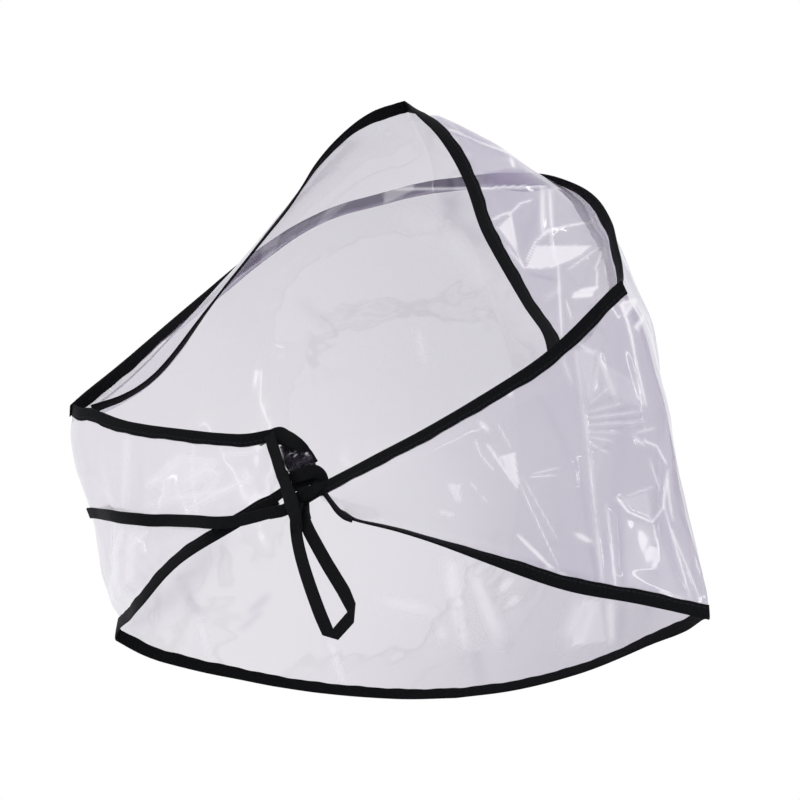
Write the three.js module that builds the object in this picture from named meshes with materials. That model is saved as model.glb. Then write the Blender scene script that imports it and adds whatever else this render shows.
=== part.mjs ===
import * as THREE from 'three';
import { mergeVertices } from 'three/addons/utils/BufferGeometryUtils.js';

// Rain bonnet: a clear film hood with a clear visor, black bound edges, and ties knotted under the chin.
// Millimetres, +Z up along the head, the face towards -Y. The origin is the seat on the crown of the head.

// Driving dimensions
const hoodWidth = 334;        // across the two back corners of the hem
const hoodDepth = 156;        // from the chin knot to the middle of the back hem
const hoodHeight = 238;       // from the crown seat down to the back hem
const filmWall = 1;
const tapeWidth = 6;
const tapeWall = 0.8;
const tieWidth = 6;
const tieThickness = 1.2;
const knotWidth = 16;
const knotHeight = 22;
const knotDepth = 9;
const knotRoundness = 0.45;   // 1 is a ball, less is more like a block
const clearance = 0.3;        // between pieces that touch on the real bonnet
const filmPlay = 0.6;         // on each side of a film inside its folded tape
const filmStep = 11;          // spacing of the film's ribs along its edges
const hoodRows = 12;
const visorRows = 6;
const tieStep = 5;
const foldDepth = 3;          // of the film's soft folds

// Film edges from the middle outwards, as shares: across of half the hood's width, back of its depth and
// up of its height, all from the crown seat. leftLift is how much higher the left side hangs.
const visorEdge = [
  { across: 0, back: -0.481, up: 0.092, leftLift: 0 },
  { across: 0.105, back: -0.551, up: 0.013, leftLift: 0 },
  { across: 0.216, back: -0.551, up: -0.071, leftLift: 0 },
  { across: 0.340, back: -0.519, up: -0.205, leftLift: 0 },
  { across: 0.461, back: -0.519, up: -0.361, leftLift: 0 },
  { across: 0.629, back: -0.519, up: -0.548, leftLift: 0 },
  { across: 0.722, back: -0.545, up: -0.639, leftLift: 0.010 },
];
// Where the visor's ends lie behind the face edges, as shares of those edges
const visorTuck = { right: 0.245, left: 0.135 };

// How steeply the visor's film rises from its foot and from its free edge, as slopes
const visorRibs = [
  { along: 0, footRise: 0.80, edgeRise: 0.30 },
  { along: 0.16, footRise: 0.95, edgeRise: 0.75 },
  { along: 0.34, footRise: 0.85, edgeRise: 0.50 },
  { along: 0.54, footRise: 0.60, edgeRise: 0.10 },
  { along: 0.80, footRise: 0.45, edgeRise: -0.45 },
  { along: 1, footRise: 0.45, edgeRise: -0.45 },
];

const crownSeam = [
  { across: 0, back: -0.192, up: 0.013, leftLift: 0 },
  { across: 0.204, back: -0.215, up: -0.008, leftLift: 0 },
  { across: 0.371, back: -0.250, up: -0.055, leftLift: 0 },
  { across: 0.587, back: -0.285, up: -0.147, leftLift: 0 },
  { across: 0.722, back: -0.327, up: -0.269, leftLift: 0 },
  { across: 0.855, back: -0.436, up: -0.475, leftLift: -0.010 },
  { across: 0.928, back: -0.538, up: -0.575, leftLift: -0.058 },
];
const backHem = [
  { across: 0, back: 0.526, up: -1.008, leftLift: 0 },
  { across: 0.198, back: 0.516, up: -1.004, leftLift: 0 },
  { across: 0.449, back: 0.455, up: -0.997, leftLift: 0 },
  { across: 0.683, back: 0.362, up: -0.987, leftLift: 0 },
  { across: 0.850, back: 0.269, up: -0.985, leftLift: 0 },
  { across: 0.946, back: 0.165, up: -0.995, leftLift: 0.010 },
  { across: 1.006, back: 0.090, up: -1.029, leftLift: 0.050 },
];

// Face and lower edges of each front flap, from the corner to the knot
const rightFace = [
  { across: 0.928, back: -0.538, up: -0.575 },
  { across: 0.869, back: -0.571, up: -0.649 },
  { across: 0.792, back: -0.594, up: -0.714 },
  { across: 0.628, back: -0.602, up: -0.794 },
  { across: 0.432, back: -0.585, up: -0.858 },
  { across: 0.270, back: -0.558, up: -0.892 },
  { across: 0.078, back: -0.508, up: -0.917 },
];
const rightLower = [
  { across: 1.006, back: 0.090, up: -1.029 },
  { across: 0.891, back: -0.078, up: -1.053 },
  { across: 0.746, back: -0.235, up: -1.072 },
  { across: 0.497, back: -0.417, up: -1.050 },
  { across: 0.365, back: -0.497, up: -1.035 },
  { across: 0.215, back: -0.529, up: -1.006 },
  { across: 0.150, back: -0.523, up: -0.972 },
];
const leftFace = [
  { across: 0.918, back: -0.538, up: -0.633 },
  { across: 0.862, back: -0.570, up: -0.656 },
  { across: 0.790, back: -0.594, up: -0.670 },
  { across: 0.607, back: -0.602, up: -0.746 },
  { across: 0.404, back: -0.582, up: -0.780 },
  { across: 0.225, back: -0.549, up: -0.791 },
  { across: 0.110, back: -0.519, up: -0.768 },
  { across: 0.045, back: -0.503, up: -0.790 },
  { across: -0.012, back: -0.494, up: -0.832 },
];
const leftLower = [
  { across: 1.006, back: 0.090, up: -0.979 },
  { across: 0.808, back: -0.128, up: -1.025 },
  { across: 0.611, back: -0.333, up: -1.067 },
  { across: 0.443, back: -0.449, up: -1.046 },
  { across: 0.269, back: -0.526, up: -1.017 },
  { across: 0.109, back: -0.513, up: -0.947 },
  { across: 0.070, back: -0.500, up: -0.930 },
];

const halfWidth = hoodWidth / 2;

function placed(row, side, lift = 0) {
  return new THREE.Vector3(
    side * row.across * halfWidth,
    row.back * hoodDepth,
    (row.up + lift) * hoodHeight,
  );
}

function edgeCurve(rows, side) {
  const points = rows.map((row) => placed(row, side, side < 0 ? row.leftLift ?? 0 : 0));
  return new THREE.CatmullRomCurve3(points, false, 'centripetal');
}

// Soft folds of the film. along runs from the middle (0) to the knot (1) on the side named, width is a share
// of the same length, and depth is a share of foldDepth out of the film, less than 0 for a dent.
const filmFolds = [
  { side: 1, along: 0.16, width: 0.030, depth: 1.00 },
  { side: 1, along: 0.36, width: 0.025, depth: -1.00 },
  { side: 1, along: 0.60, width: 0.022, depth: 0.83 },
  { side: 1, along: 0.72, width: 0.025, depth: -0.83 },
  { side: -1, along: 0.20, width: 0.030, depth: -1.00 },
  { side: -1, along: 0.42, width: 0.028, depth: 1.00 },
  { side: -1, along: 0.66, width: 0.025, depth: -0.83 },
  { side: -1, along: 0.80, width: 0.020, depth: 0.67 },
];

// How the hood's film leaves its front edge and its hem, from the middle to the knot, as shares of the way
// between the two edges: out sideways, back and up. leftOut is how much further out the left side goes.
const ribsFromFront = [
  { along: 0, out: 0, back: 0.36, up: 0.03, leftOut: 0 },
  { along: 0.28, out: 0.03, back: 0.34, up: 0.02, leftOut: 0.06 },
  { along: 0.46, out: 0.05, back: 0.28, up: -0.12, leftOut: 0.06 },
  { along: 0.56, out: 0.07, back: 0.17, up: -0.24, leftOut: 0.05 },
  { along: 0.78, out: 0.02, back: -0.05, up: -0.30, leftOut: 0.04 },
  { along: 1, out: 0, back: -0.02, up: -0.33, leftOut: 0 },
];
const ribsFromHem = [
  { along: 0, out: 0, back: 0.18, up: 0.40, leftOut: 0 },
  { along: 0.28, out: 0.01, back: 0.14, up: 0.38, leftOut: 0.06 },
  { along: 0.46, out: -0.05, back: 0.02, up: 0.36, leftOut: 0.06 },
  { along: 0.56, out: -0.06, back: -0.06, up: 0.34, leftOut: 0.05 },
  { along: 0.78, out: 0.02, back: -0.08, up: 0.30, leftOut: 0.04 },
  { along: 1, out: 0, back: -0.02, up: 0.33, leftOut: 0 },
];

// The ties' routes, chosen by hand, in millimetres from the crown seat
const tailRoute = [
  [-1, -83.6, -230.8], [-8.5, -85.2, -232.8], [-16, -86, -234.6], [-26, -86.8, -236.2], [-38, -86.9, -235.6],
  [-50, -85.4, -232.6], [-62, -83, -229.4], [-72.5, -81.4, -227], [-82, -80.8, -225.6], [-93, -80, -223],
  [-106, -76.6, -218.6], [-118, -71.6, -213], [-132, -62, -205], [-146, -51.6, -196.6], [-155, -46.5, -192],
  [-163, -41.5, -188],
];
const loopRoute = [
  [7, -85, -230.4], [8.5, -86.8, -238], [11.5, -87, -247], [15.5, -87, -256], [20.5, -87, -265.5],
  [26, -87, -275], [31.5, -87, -284], [36.5, -86.8, -292], [41, -86.4, -299], [46, -86, -300.5],
  [50, -85.6, -296], [50, -85.2, -288.5], [45, -85, -280.5], [38.5, -85, -272.5], [31, -85, -263.5],
  [23.5, -85, -254], [15.5, -85, -243.5], [10.5, -84, -236], [8, -82.2, -230.4],
];
// The leg runs between two corners of the hood, so its route is in shares like theirs
const legRoute = [
  { across: -0.123, back: -0.546, up: -0.790 },
  { across: -0.105, back: -0.547, up: -0.815 },
  { across: -0.084, back: -0.547, up: -0.840 },
  { across: -0.063, back: -0.548, up: -0.866 },
  { across: -0.042, back: -0.549, up: -0.891 },
  { across: -0.019, back: -0.544, up: -0.918 },
].map((row) => placed(row, 1).toArray());

const knotPlace = placed({ across: 0.027, back: -0.513, up: -0.918 }, 1);
const frontOfTail = { start: [-0.05, -1, -0.1], end: [-0.62, -0.35, -0.7] };
const frontOfLoop = { start: [-0.1, -1, 0], end: [-0.1, -1, 0] };
const frontOfLeg = { start: [-0.15, -1, 0], end: [-0.3, -1, 0] };
const cornerShare = 0.56;     // of the way from the middle to the knot, where the flaps' edges begin
const filmSlot = filmWall / 2 + filmPlay;   // half the room for one film in its tape
const visorBehind = filmWall + filmPlay;   // from the hood's film to the visor's inside the fin
const visorClear = filmSlot + tapeWall + clearance + filmWall / 2;
const tuckDepth = 2 * (filmSlot + tapeWall) + clearance;   // and behind a face tape
const tapeReach = tapeWidth - tapeWall - filmPlay;
const heldFilm = tapeWidth + 2;   // the film stays flat this far from a bound edge
const heldShare = 0.33;           // or this share of the way to the other edge, where that is less
const visorHeldShare = 0.55;
const handleShare = 0.33;         // of a visor rib's length, to its curve's handles
const finHeight = tapeWidth + 3;  // the visor's film stays flat this far down the crown seam's fin
const finTurn = 8;                // ribs over which the film turns down into the fin
const visorTurn = 5;              // ribs over which the visor's ends come out from behind the face tapes
const crownCentre = new THREE.Vector3(0, 0, -0.45 * hoodHeight);

const vec = (x, y, z) => new THREE.Vector3(x, y, z);
const mix = (a, b, t) => a.clone().lerp(b, t);

// A named column of a table at a share along it, with straight lines between its rows
function column(rows, name, along) {
  const next = Math.max(1, rows.findIndex((row) => row.along >= along));
  const [a, b] = [rows[next - 1], rows[next]];
  const t = (along - a.along) / (b.along - a.along);
  return a[name] + (b[name] - a[name]) * THREE.MathUtils.smoothstep(t, 0, 1);
}

// One side's edge from the middle to the knot: its crown or hem part, then its flap's part
function sideEdge(innerRows, flapRows, side, innerCount, flapCount) {
  const inner = edgeCurve(innerRows, side).getSpacedPoints(innerCount);
  const flap = edgeCurve(flapRows, side).getSpacedPoints(flapCount);
  flap[0].copy(inner[innerCount]);
  return [...inner, ...flap.slice(1)];
}

// Right and left sides as one edge, from the right knot end to the left knot end
const bothSides = (right, left) => [...right.slice().reverse(), ...left.slice(1)];

// Unit tangents, each the mean of the two steps beside its point
function tangentsOf(points) {
  return points.map((point, i) => {
    const before = i > 0 ? point.clone().sub(points[i - 1]).normalize() : vec(0, 0, 0);
    const after = i < points.length - 1 ? points[i + 1].clone().sub(point).normalize() : vec(0, 0, 0);
    return before.add(after).normalize();
  });
}

// How much wider a mitred section is than a square one, at each point
function mitresOf(points, inwards) {
  return points.map((point, i) => {
    if (i === 0 || i === points.length - 1) return 1;
    const step = points[i + 1].clone().sub(point).normalize();
    return 1 / Math.max(0.6, step.cross(inwards[i]).length());
  });
}

const across = (direction, tangent) =>
  direction.clone().addScaledVector(tangent, -direction.dot(tangent)).normalize();

// A closed body through like sections, each a ring of points, with flat ends. Each strip is halved from its
// outer edge to its inner edge, as the film's are, so that a twisted tape follows its film.
function bodyThrough(sections, endFaces, profile) {
  const ring = sections[0].length;
  const positions = sections.flat().flatMap((point) => point.toArray());
  const indices = [];
  for (let s = 0; s < sections.length - 1; s++) {
    for (let k = 0; k < ring; k++) {
      const a = s * ring + k;
      const b = s * ring + (k + 1) % ring;
      if (profile[(k + 1) % ring].x < profile[k].x) {
        indices.push(a, b, a + ring, b, b + ring, a + ring);
      } else {
        indices.push(a, b, b + ring, a, b + ring, a + ring);
      }
    }
  }
  const last = (sections.length - 1) * ring;
  for (const [a, b, c] of endFaces) {
    indices.push(a, c, b, last + a, last + b, last + c);
  }
  return facingOut(positions, indices);
}

// Geometry of a closed mesh, turned so that its faces point out
function facingOut(positions, indices) {
  const corner = (i) => vec(...positions.slice(3 * i, 3 * i + 3));
  let volume = 0;
  for (let i = 0; i < indices.length; i += 3) {
    const [a, b, c] = [corner(indices[i]), corner(indices[i + 1]), corner(indices[i + 2])];
    volume += a.dot(b.cross(c));
  }
  const order = volume < 0 ? indices.slice().reverse() : indices;
  const geometry = new THREE.BufferGeometry();
  geometry.setAttribute('position', new THREE.Float32BufferAttribute(positions, 3));
  geometry.setIndex(order);
  const whole = mergeVertices(geometry, 1e-4);
  whole.computeVertexNormals();
  return whole;
}

// A folded tape that wraps a film edge: a channel with its fold outside the edge and its open side inwards.
// behind says how far a second film lies under the first at each station, and trim shortens both ends.
function binding(points, inwards, normals, { start = 0, end = points.length - 1, trim = 0, behind } = {}) {
  const fold = -(filmPlay + tapeWall);
  const profileAt = (i) => {
    const [low, high] = [-filmSlot - (behind ? behind(i) : 0), filmSlot];
    return [
      [fold, low - tapeWall], [tapeReach, low - tapeWall], [tapeReach, low], [-filmPlay, low],
      [-filmPlay, high], [tapeReach, high], [tapeReach, high + tapeWall], [fold, high + tapeWall],
    ];
  };
  const tangents = tangentsOf(points);
  const mitres = mitresOf(points, inwards);
  const sections = [];
  for (let i = start; i <= end; i++) {
    const shift = (i === start ? trim : 0) - (i === end ? trim : 0);
    const centre = points[i].clone().addScaledVector(tangents[i], shift);
    sections.push(profileAt(i).map(([wide, thick]) => centre.clone()
      .addScaledVector(inwards[i], wide * mitres[i])
      .addScaledVector(normals[i], thick)));
  }
  const profile = profileAt(start).map(([wide, thick]) => new THREE.Vector2(wide, thick));
  return bodyThrough(sections, THREE.ShapeUtils.triangulateShape(profile, []), profile);
}

// A film wall of even thickness about a grid of points. Inside its tapes it is square to their own normals.
// Each cell is halved from its outer edge to its inner edge, as the tapes' strips are.
function filmSheet(grid, startNormals, endNormals) {
  const [rows, columns] = [grid.length, grid[0].length];
  const outer = [];
  const inner = [];
  for (let i = 0; i < rows; i++) {
    for (let j = 0; j < columns; j++) {
      const alongRows = grid[Math.min(i + 1, rows - 1)][j].clone().sub(grid[Math.max(i - 1, 0)][j]);
      const alongColumns = grid[i][Math.min(j + 1, columns - 1)].clone().sub(grid[i][Math.max(j - 1, 0)]);
      const held = j < 2 ? startNormals[i] : j > columns - 3 ? endNormals[i] : null;
      const normal = held ?? alongRows.cross(alongColumns).normalize();
      outer.push(grid[i][j].clone().addScaledVector(normal, filmWall / 2));
      inner.push(grid[i][j].clone().addScaledVector(normal, -filmWall / 2));
    }
  }
  const positions = [...outer, ...inner].flatMap((point) => point.toArray());
  const at = (i, j) => i * columns + j;
  const under = rows * columns;
  const indices = [];
  const quad = (a, b, c, d) => indices.push(a, b, c, a, c, d);
  for (let i = 0; i < rows - 1; i++) {
    for (let j = 0; j < columns - 1; j++) {
      const cell = [at(i, j), at(i + 1, j), at(i + 1, j + 1), at(i, j + 1)];
      const [a, b, c, d] = j < columns / 2 ? cell : [...cell.slice(1), cell[0]];
      quad(a, b, c, d);
      quad(under + c, under + b, under + a, under + d);
    }
  }
  const edgeWall = (a, b) => quad(a, under + a, under + b, b);
  for (let i = 0; i < rows - 1; i++) {
    edgeWall(at(i, 0), at(i + 1, 0));
    edgeWall(at(i + 1, columns - 1), at(i, columns - 1));
  }
  for (let j = 0; j < columns - 1; j++) {
    edgeWall(at(0, j + 1), at(0, j));
    edgeWall(at(rows - 1, j), at(rows - 1, j + 1));
  }
  return facingOut(positions, indices);
}

// The hood's two long edges, rib by rib from the right knot end to the left knot end
const innerCount = Math.round(edgeCurve(crownSeam, 1).getLength() / filmStep);
const flapCount = Math.round(edgeCurve(rightLower, 1).getLength() / filmStep);
const frontEdge = bothSides(
  sideEdge(crownSeam, rightFace, 1, innerCount, flapCount),
  sideEdge(crownSeam, leftFace, -1, innerCount, flapCount),
);
const hemEdge = bothSides(
  sideEdge(backHem, rightLower, 1, innerCount, flapCount),
  sideEdge(backHem, leftLower, -1, innerCount, flapCount),
);
const ribCount = frontEdge.length;
const middle = (ribCount - 1) / 2;
const rightCorner = flapCount;
const leftCorner = ribCount - 1 - flapCount;

function ribPlace(i) {
  const side = i <= middle ? 1 : -1;
  const steps = Math.abs(i - middle);
  const along = steps <= innerCount
    ? cornerShare * steps / innerCount
    : cornerShare + (1 - cornerShare) * (steps - innerCount) / flapCount;
  return { side, along };
}

function ribHandle(i, rows) {
  const { side, along } = ribPlace(i);
  const [out, back, up, leftOut] = ['out', 'back', 'up', 'leftOut'].map((name) => column(rows, name, along));
  return vec(side * out - (side < 0 ? leftOut : 0), back, up).multiplyScalar(spans[i]);
}

const frontTangents = tangentsOf(frontEdge);
const hemTangents = tangentsOf(hemEdge);
const spans = frontEdge.map((point, i) => point.distanceTo(hemEdge[i]));
const frontHandles = frontEdge.map((point, i) => ribHandle(i, ribsFromFront));
const hemHandles = hemEdge.map((point, i) => ribHandle(i, ribsFromHem));

// Inwards is the way the film leaves an edge. On the crown seam it is down the standing fin.
const isCrown = (i) => i >= rightCorner && i <= leftCorner;
const frontInwards = frontEdge.map((point, i) => {
  const film = frontHandles[i].clone().normalize();
  const fin = crownCentre.clone().sub(point).setY(0).normalize();
  const steps = Math.min(i - rightCorner, leftCorner - i);
  const share = isCrown(i) ? THREE.MathUtils.smoothstep(steps, -1, finTurn) : 0;
  return across(mix(film, fin, share), frontTangents[i]);
});
const hemInwards = hemEdge.map((point, i) => across(hemHandles[i], hemTangents[i]));
const frontNormals = frontInwards.map((inwards, i) => inwards.clone().cross(frontTangents[i]).normalize());
const frontMitres = mitresOf(frontEdge, frontInwards);
const hemMitres = mitresOf(hemEdge, hemInwards);
const hemNormals = hemInwards.map((inwards, i) => hemTangents[i].clone().cross(inwards).normalize());

function foldHeight(i) {
  const { side, along } = ribPlace(i);
  return filmFolds.filter((fold) => fold.side === side).reduce((sum, fold) => {
    const t = (along - fold.along) / fold.width;
    return sum + foldDepth * fold.depth * Math.exp(-t * t);
  }, 0);
}

function hoodGrid() {
  return frontEdge.map((front, i) => {
    const hem = hemEdge[i];
    const held = Math.min(heldFilm, spans[i] * heldShare);
    const from = front.clone().addScaledVector(frontInwards[i], held * frontMitres[i]);
    const to = hem.clone().addScaledVector(hemInwards[i], held * hemMitres[i]);
    const free = 1 - 2 * held / spans[i];
    const rib = new THREE.CubicBezierCurve3(
      from,
      from.clone().addScaledVector(frontHandles[i], free),
      to.clone().addScaledVector(hemHandles[i], free),
      to,
    );
    const outwards = frontNormals[i].clone().add(hemNormals[i]).normalize();
    const swell = (t) => foldHeight(i) * Math.sin(Math.PI * t) ** 2;
    return [
      front.clone(),
      front.clone().addScaledVector(frontInwards[i], tapeReach * frontMitres[i]),
      ...rib.getPoints(hoodRows).map((point, row) => point.addScaledVector(outwards, swell(row / hoodRows))),
      hem.clone().addScaledVector(hemInwards[i], tapeReach * hemMitres[i]),
      hem.clone(),
    ];
  });
}

// The visor's free edge, from its peak to its end tucked behind a face edge, with as many ribs as the seam
function visorSide(faceRows, side, share) {
  const face = edgeCurve(faceRows, side);
  const i = side > 0 ? rightCorner : leftCorner;
  const tuck = face.getPointAt(share).addScaledVector(frontNormals[i - side], -tuckDepth);
  const free = visorEdge.map((row) => placed(row, side, side < 0 ? row.leftLift : 0));
  return new THREE.CatmullRomCurve3([...free, tuck], false, 'centripetal').getSpacedPoints(innerCount);
}
const visorPoints = bothSides(
  visorSide(rightFace, 1, visorTuck.right),
  visorSide(leftFace, -1, visorTuck.left),
);
const seamPoints = frontEdge.slice(rightCorner, leftCorner + 1);
const seamInwards = frontInwards.slice(rightCorner, leftCorner + 1);
const seamNormals = frontNormals.slice(rightCorner, leftCorner + 1);
const visorTangents = tangentsOf(visorPoints);

// The visor's film lies behind the hood's in the fin, and further behind it at the two corners
function visorOffset(i) {
  const steps = Math.min(i, seamPoints.length - 1 - i);
  return THREE.MathUtils.lerp(visorClear, visorBehind, THREE.MathUtils.smoothstep(steps, 0, visorTurn));
}
const visorSeam = seamPoints.map((point, i) => (
  point.clone().addScaledVector(seamNormals[i], -visorOffset(i))));
const visorFoot = visorSeam.map((point, i) => (
  point.clone().addScaledVector(seamInwards[i], finHeight * frontMitres[rightCorner + i])));
const visorWay = visorFoot.map((foot, i) => visorPoints[i].clone().sub(foot).normalize());
const seamShare = (i) => Math.abs(2 * i / (seamPoints.length - 1) - 1);
const risen = (i, name, turn) => visorWay[i].clone().multiplyScalar(turn)
  .addScaledVector(seamInwards[i], -column(visorRibs, name, seamShare(i)));

// The visor leaves its seam outwards, so that it rises above the line from its seam to its free edge
const visorInwards = visorPoints.map((point, i) => across(risen(i, 'edgeRise', -1), visorTangents[i]));
const visorNormals = visorInwards.map((inwards, i) => inwards.clone().cross(visorTangents[i]).normalize());

function visorGrid() {
  return visorPoints.map((free, i) => {
    const span = visorFoot[i].distanceTo(free);
    const held = Math.min(heldFilm, span * visorHeldShare);
    const end = free.clone().addScaledVector(visorInwards[i], held);
    const rib = new THREE.CubicBezierCurve3(
      visorFoot[i],
      visorFoot[i].clone().addScaledVector(risen(i, 'footRise', 1), span * handleShare),
      end.clone().addScaledVector(visorInwards[i], span * handleShare),
      end,
    );
    return [
      visorSeam[i],
      visorSeam[i].clone().addScaledVector(seamInwards[i], tapeReach * frontMitres[rightCorner + i]),
      ...rib.getPoints(visorRows),
      free.clone().addScaledVector(visorInwards[i], Math.min(tapeReach, held * 0.9)),
      free.clone(),
    ];
  });
}

// A flat tape along a route, its wide side turning from one way of facing to another
function tie(route, front) {
  const curve = new THREE.CatmullRomCurve3(route.map((place) => vec(...place)), false, 'centripetal');
  const points = curve.getSpacedPoints(Math.round(curve.getLength() / tieStep));
  const tangents = tangentsOf(points);
  const corners = [[-1, -1], [1, -1], [1, 1], [-1, 1]];
  const profile = corners.map(([w, t]) => new THREE.Vector2(w, t));
  const sections = points.map((point, i) => {
    const facing = mix(vec(...front.start), vec(...front.end), i / (points.length - 1));
    const thick = across(facing, tangents[i]);
    const wide = thick.clone().cross(tangents[i]).normalize();
    return corners.map(([w, t]) => point.clone()
      .addScaledVector(wide, w * tieWidth / 2)
      .addScaledVector(thick, t * tieThickness / 2));
  });
  return bodyThrough(sections, [[0, 1, 2], [0, 2, 3]], profile);
}

// The knot: a rounded block of wound tape
function knot() {
  const shape = new THREE.SphereGeometry(0.5, 16, 10);
  const position = shape.attributes.position;
  for (let i = 0; i < position.count; i++) {
    const point = vec(0, 0, 0).fromBufferAttribute(position, i).multiplyScalar(2);
    const boxed = point.toArray().map((value) => Math.sign(value) * Math.abs(value) ** knotRoundness / 2);
    position.setXYZ(i, boxed[0] * knotWidth, boxed[1] * knotDepth, boxed[2] * knotHeight);
  }
  shape.deleteAttribute('normal');
  shape.deleteAttribute('uv');
  const whole = mergeVertices(shape, 1e-4);
  whole.computeVertexNormals();
  return whole;
}

const film = new THREE.MeshStandardMaterial({
  color: 0xdedbe4, roughness: 0.12, metalness: 0, transparent: true, opacity: 0.4, side: THREE.DoubleSide,
});
const tape = new THREE.MeshStandardMaterial({ color: 0x141619, roughness: 0.85, metalness: 0 });

const group = new THREE.Group();

function add(name, geometry, material) {
  const mesh = new THREE.Mesh(geometry, material);
  mesh.name = name;
  group.add(mesh);
  return mesh;
}

const turned = (normals) => normals.map((normal) => normal.clone().negate());
add('hood_film', filmSheet(hoodGrid(), turned(frontNormals), turned(hemNormals)), film);
add('visor_film', filmSheet(visorGrid(), turned(seamNormals), visorNormals), film);
add('visor_binding', binding(visorPoints, visorInwards, visorNormals), tape);
add('crown_binding', binding(frontEdge, frontInwards, frontNormals, {
  start: rightCorner,
  end: leftCorner,
  trim: clearance / 2,
  behind: (i) => visorOffset(i - rightCorner) + clearance,
}), tape);
add('right_face_binding', binding(frontEdge, frontInwards, frontNormals, {
  end: rightCorner,
  trim: clearance / 2,
}), tape);
add('left_face_binding', binding(frontEdge, frontInwards, frontNormals, {
  start: leftCorner,
  trim: clearance / 2,
}), tape);
add('hem_binding', binding(hemEdge, hemInwards, hemNormals), tape);
add('chin_knot', knot(), tape).position.copy(knotPlace);
add('left_tie', tie(legRoute, frontOfLeg), tape);
add('tie_tail', tie(tailRoute, frontOfTail), tape);
add('tie_loop', tie(loopRoute, frontOfLoop), tape);

export default group;
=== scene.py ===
# %% [markdown]
# # Rain bonnet
# A folding rain bonnet: a hood and a visor of clear film, black woven tape folded over every edge, and a tie
# knotted under the chin. It is lit like a product on white, and seen from below its hem.

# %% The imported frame
import math

import bpy
import numpy as np
from mathutils import Matrix, Vector, noise


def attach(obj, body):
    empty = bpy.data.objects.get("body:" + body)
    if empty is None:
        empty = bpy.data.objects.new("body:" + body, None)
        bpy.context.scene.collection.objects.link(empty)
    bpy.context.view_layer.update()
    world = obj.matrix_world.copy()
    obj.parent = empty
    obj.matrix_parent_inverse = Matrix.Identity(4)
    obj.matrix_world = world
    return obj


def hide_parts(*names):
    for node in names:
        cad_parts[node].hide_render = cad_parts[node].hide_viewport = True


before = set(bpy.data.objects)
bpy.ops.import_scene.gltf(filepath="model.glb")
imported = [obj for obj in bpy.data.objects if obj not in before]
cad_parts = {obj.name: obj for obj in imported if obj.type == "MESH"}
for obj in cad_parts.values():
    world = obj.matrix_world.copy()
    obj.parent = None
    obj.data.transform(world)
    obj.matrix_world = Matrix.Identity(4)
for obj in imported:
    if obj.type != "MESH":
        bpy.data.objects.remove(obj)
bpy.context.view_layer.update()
print("CAD nodes:", sorted(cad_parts))

# %% [markdown]
# ## The camera
# The photograph looks up into the bonnet from below its hem, from a little over a metre away. A camera can
# be turned by eye until the outlines meet. Here it was solved from the bonnet's edges, which is closer, so
# its lens and its three directions are plain values. It comes first, because the free ties are judged
# against its view, and because the marks on the film are placed by where the photograph shows them.

# %% Camera
CAMERA_RIGHT = Vector((0.8478, 0.4924, 0.1971))
CAMERA_UP = Vector((0.1267, -0.5489, 0.8262))
CAMERA_BACK = Vector((0.5150, -0.6755, -0.5278))
CAMERA_AT = Vector((0.5923, -0.7968, -0.7350))
LENS = 103.5
SENSOR = 36.0
PHOTO_SIDE = 800

bpy.ops.object.camera_add(location=CAMERA_AT)
camera = bpy.context.object
camera.name = "photo_camera"
camera.rotation_euler = Matrix((CAMERA_RIGHT, CAMERA_UP, CAMERA_BACK)).transposed().to_euler()
camera.data.lens = LENS
camera.data.sensor_width = SENSOR
camera.data.sensor_fit = "HORIZONTAL"
bpy.context.scene.camera = camera


def photo_pixels(points):
    """Where points of the row frame show in the photograph, in its own pixels, y down."""
    away = points - np.array(CAMERA_AT)
    right, up, back = (away @ np.array(axis) for axis in (CAMERA_RIGHT, CAMERA_UP, CAMERA_BACK))
    focal = LENS / SENSOR * PHOTO_SIDE
    return np.stack([PHOTO_SIDE / 2 - focal * right / back, PHOTO_SIDE / 2 + focal * up / back], axis=-1)


print("camera", round(CAMERA_AT.length, 3), "m from the crown seat, which shows at pixel",
      np.round(photo_pixels(np.zeros((1, 3)))[0], 1).tolist())

# %% [markdown]
# ## Named sizes
# All lengths are metres. The hood's three sizes carry every edge, so that the tables further on hold shares
# of them and stay readable. The edge tape is 6 mm wide when folded, and the tie is the same tape carried on.

# %% Sizes
MM = 0.001
HOOD_WIDTH = 334 * MM
HOOD_DEPTH = 156 * MM
HOOD_HEIGHT = 238 * MM
TAPE_WIDTH = 6 * MM
TAPE_THICKNESS = 0.45 * MM
TIE_WIDTH = 6 * MM
TIE_THICKNESS = 1.2 * MM
FILM_GAP = 0.35 * MM
HOOD_SIZES = np.array([HOOD_WIDTH / 2, HOOD_DEPTH, HOOD_HEIGHT])
print("hood", HOOD_WIDTH, "m wide,", HOOD_DEPTH, "m deep and", HOOD_HEIGHT, "m high")

# %% [markdown]
# ## Directions
# Film and tape are laid along directions, as a maker lays cloth along its grain. These helpers work on whole
# arrays of directions at once, which is much quicker than one Vector after another.

# %% Helpers for directions
def unit(vectors):
    return vectors / np.maximum(np.linalg.norm(vectors, axis=-1, keepdims=True), 1e-12)


def dots(a, b):
    return np.sum(a * b, axis=-1, keepdims=True)


def square_to(directions, tangents):
    """The part of each direction that is square to its tangent, as a unit vector."""
    return unit(directions - dots(directions, tangents) * tangents)


def smooth(t):
    """An even ease from 0 at 0 to 1 at 1."""
    t = np.clip(t, 0, 1)
    return t * t * (3 - 2 * t)


print("halfway through an ease:", float(smooth(0.5)))

# %% [markdown]
# ## Smooth lines through a few points
# A cut edge hangs in a long, even line. Blender's own curves could carry it, but each handle would have to
# be set by hand. A Catmull-Rom line needs its points alone, and has no overshoot when its steps grow with
# the square root of the distances. Every edge and tie here is such a line, sampled at even lengths.

# %% Smooth lines
SAMPLES = 160


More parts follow.
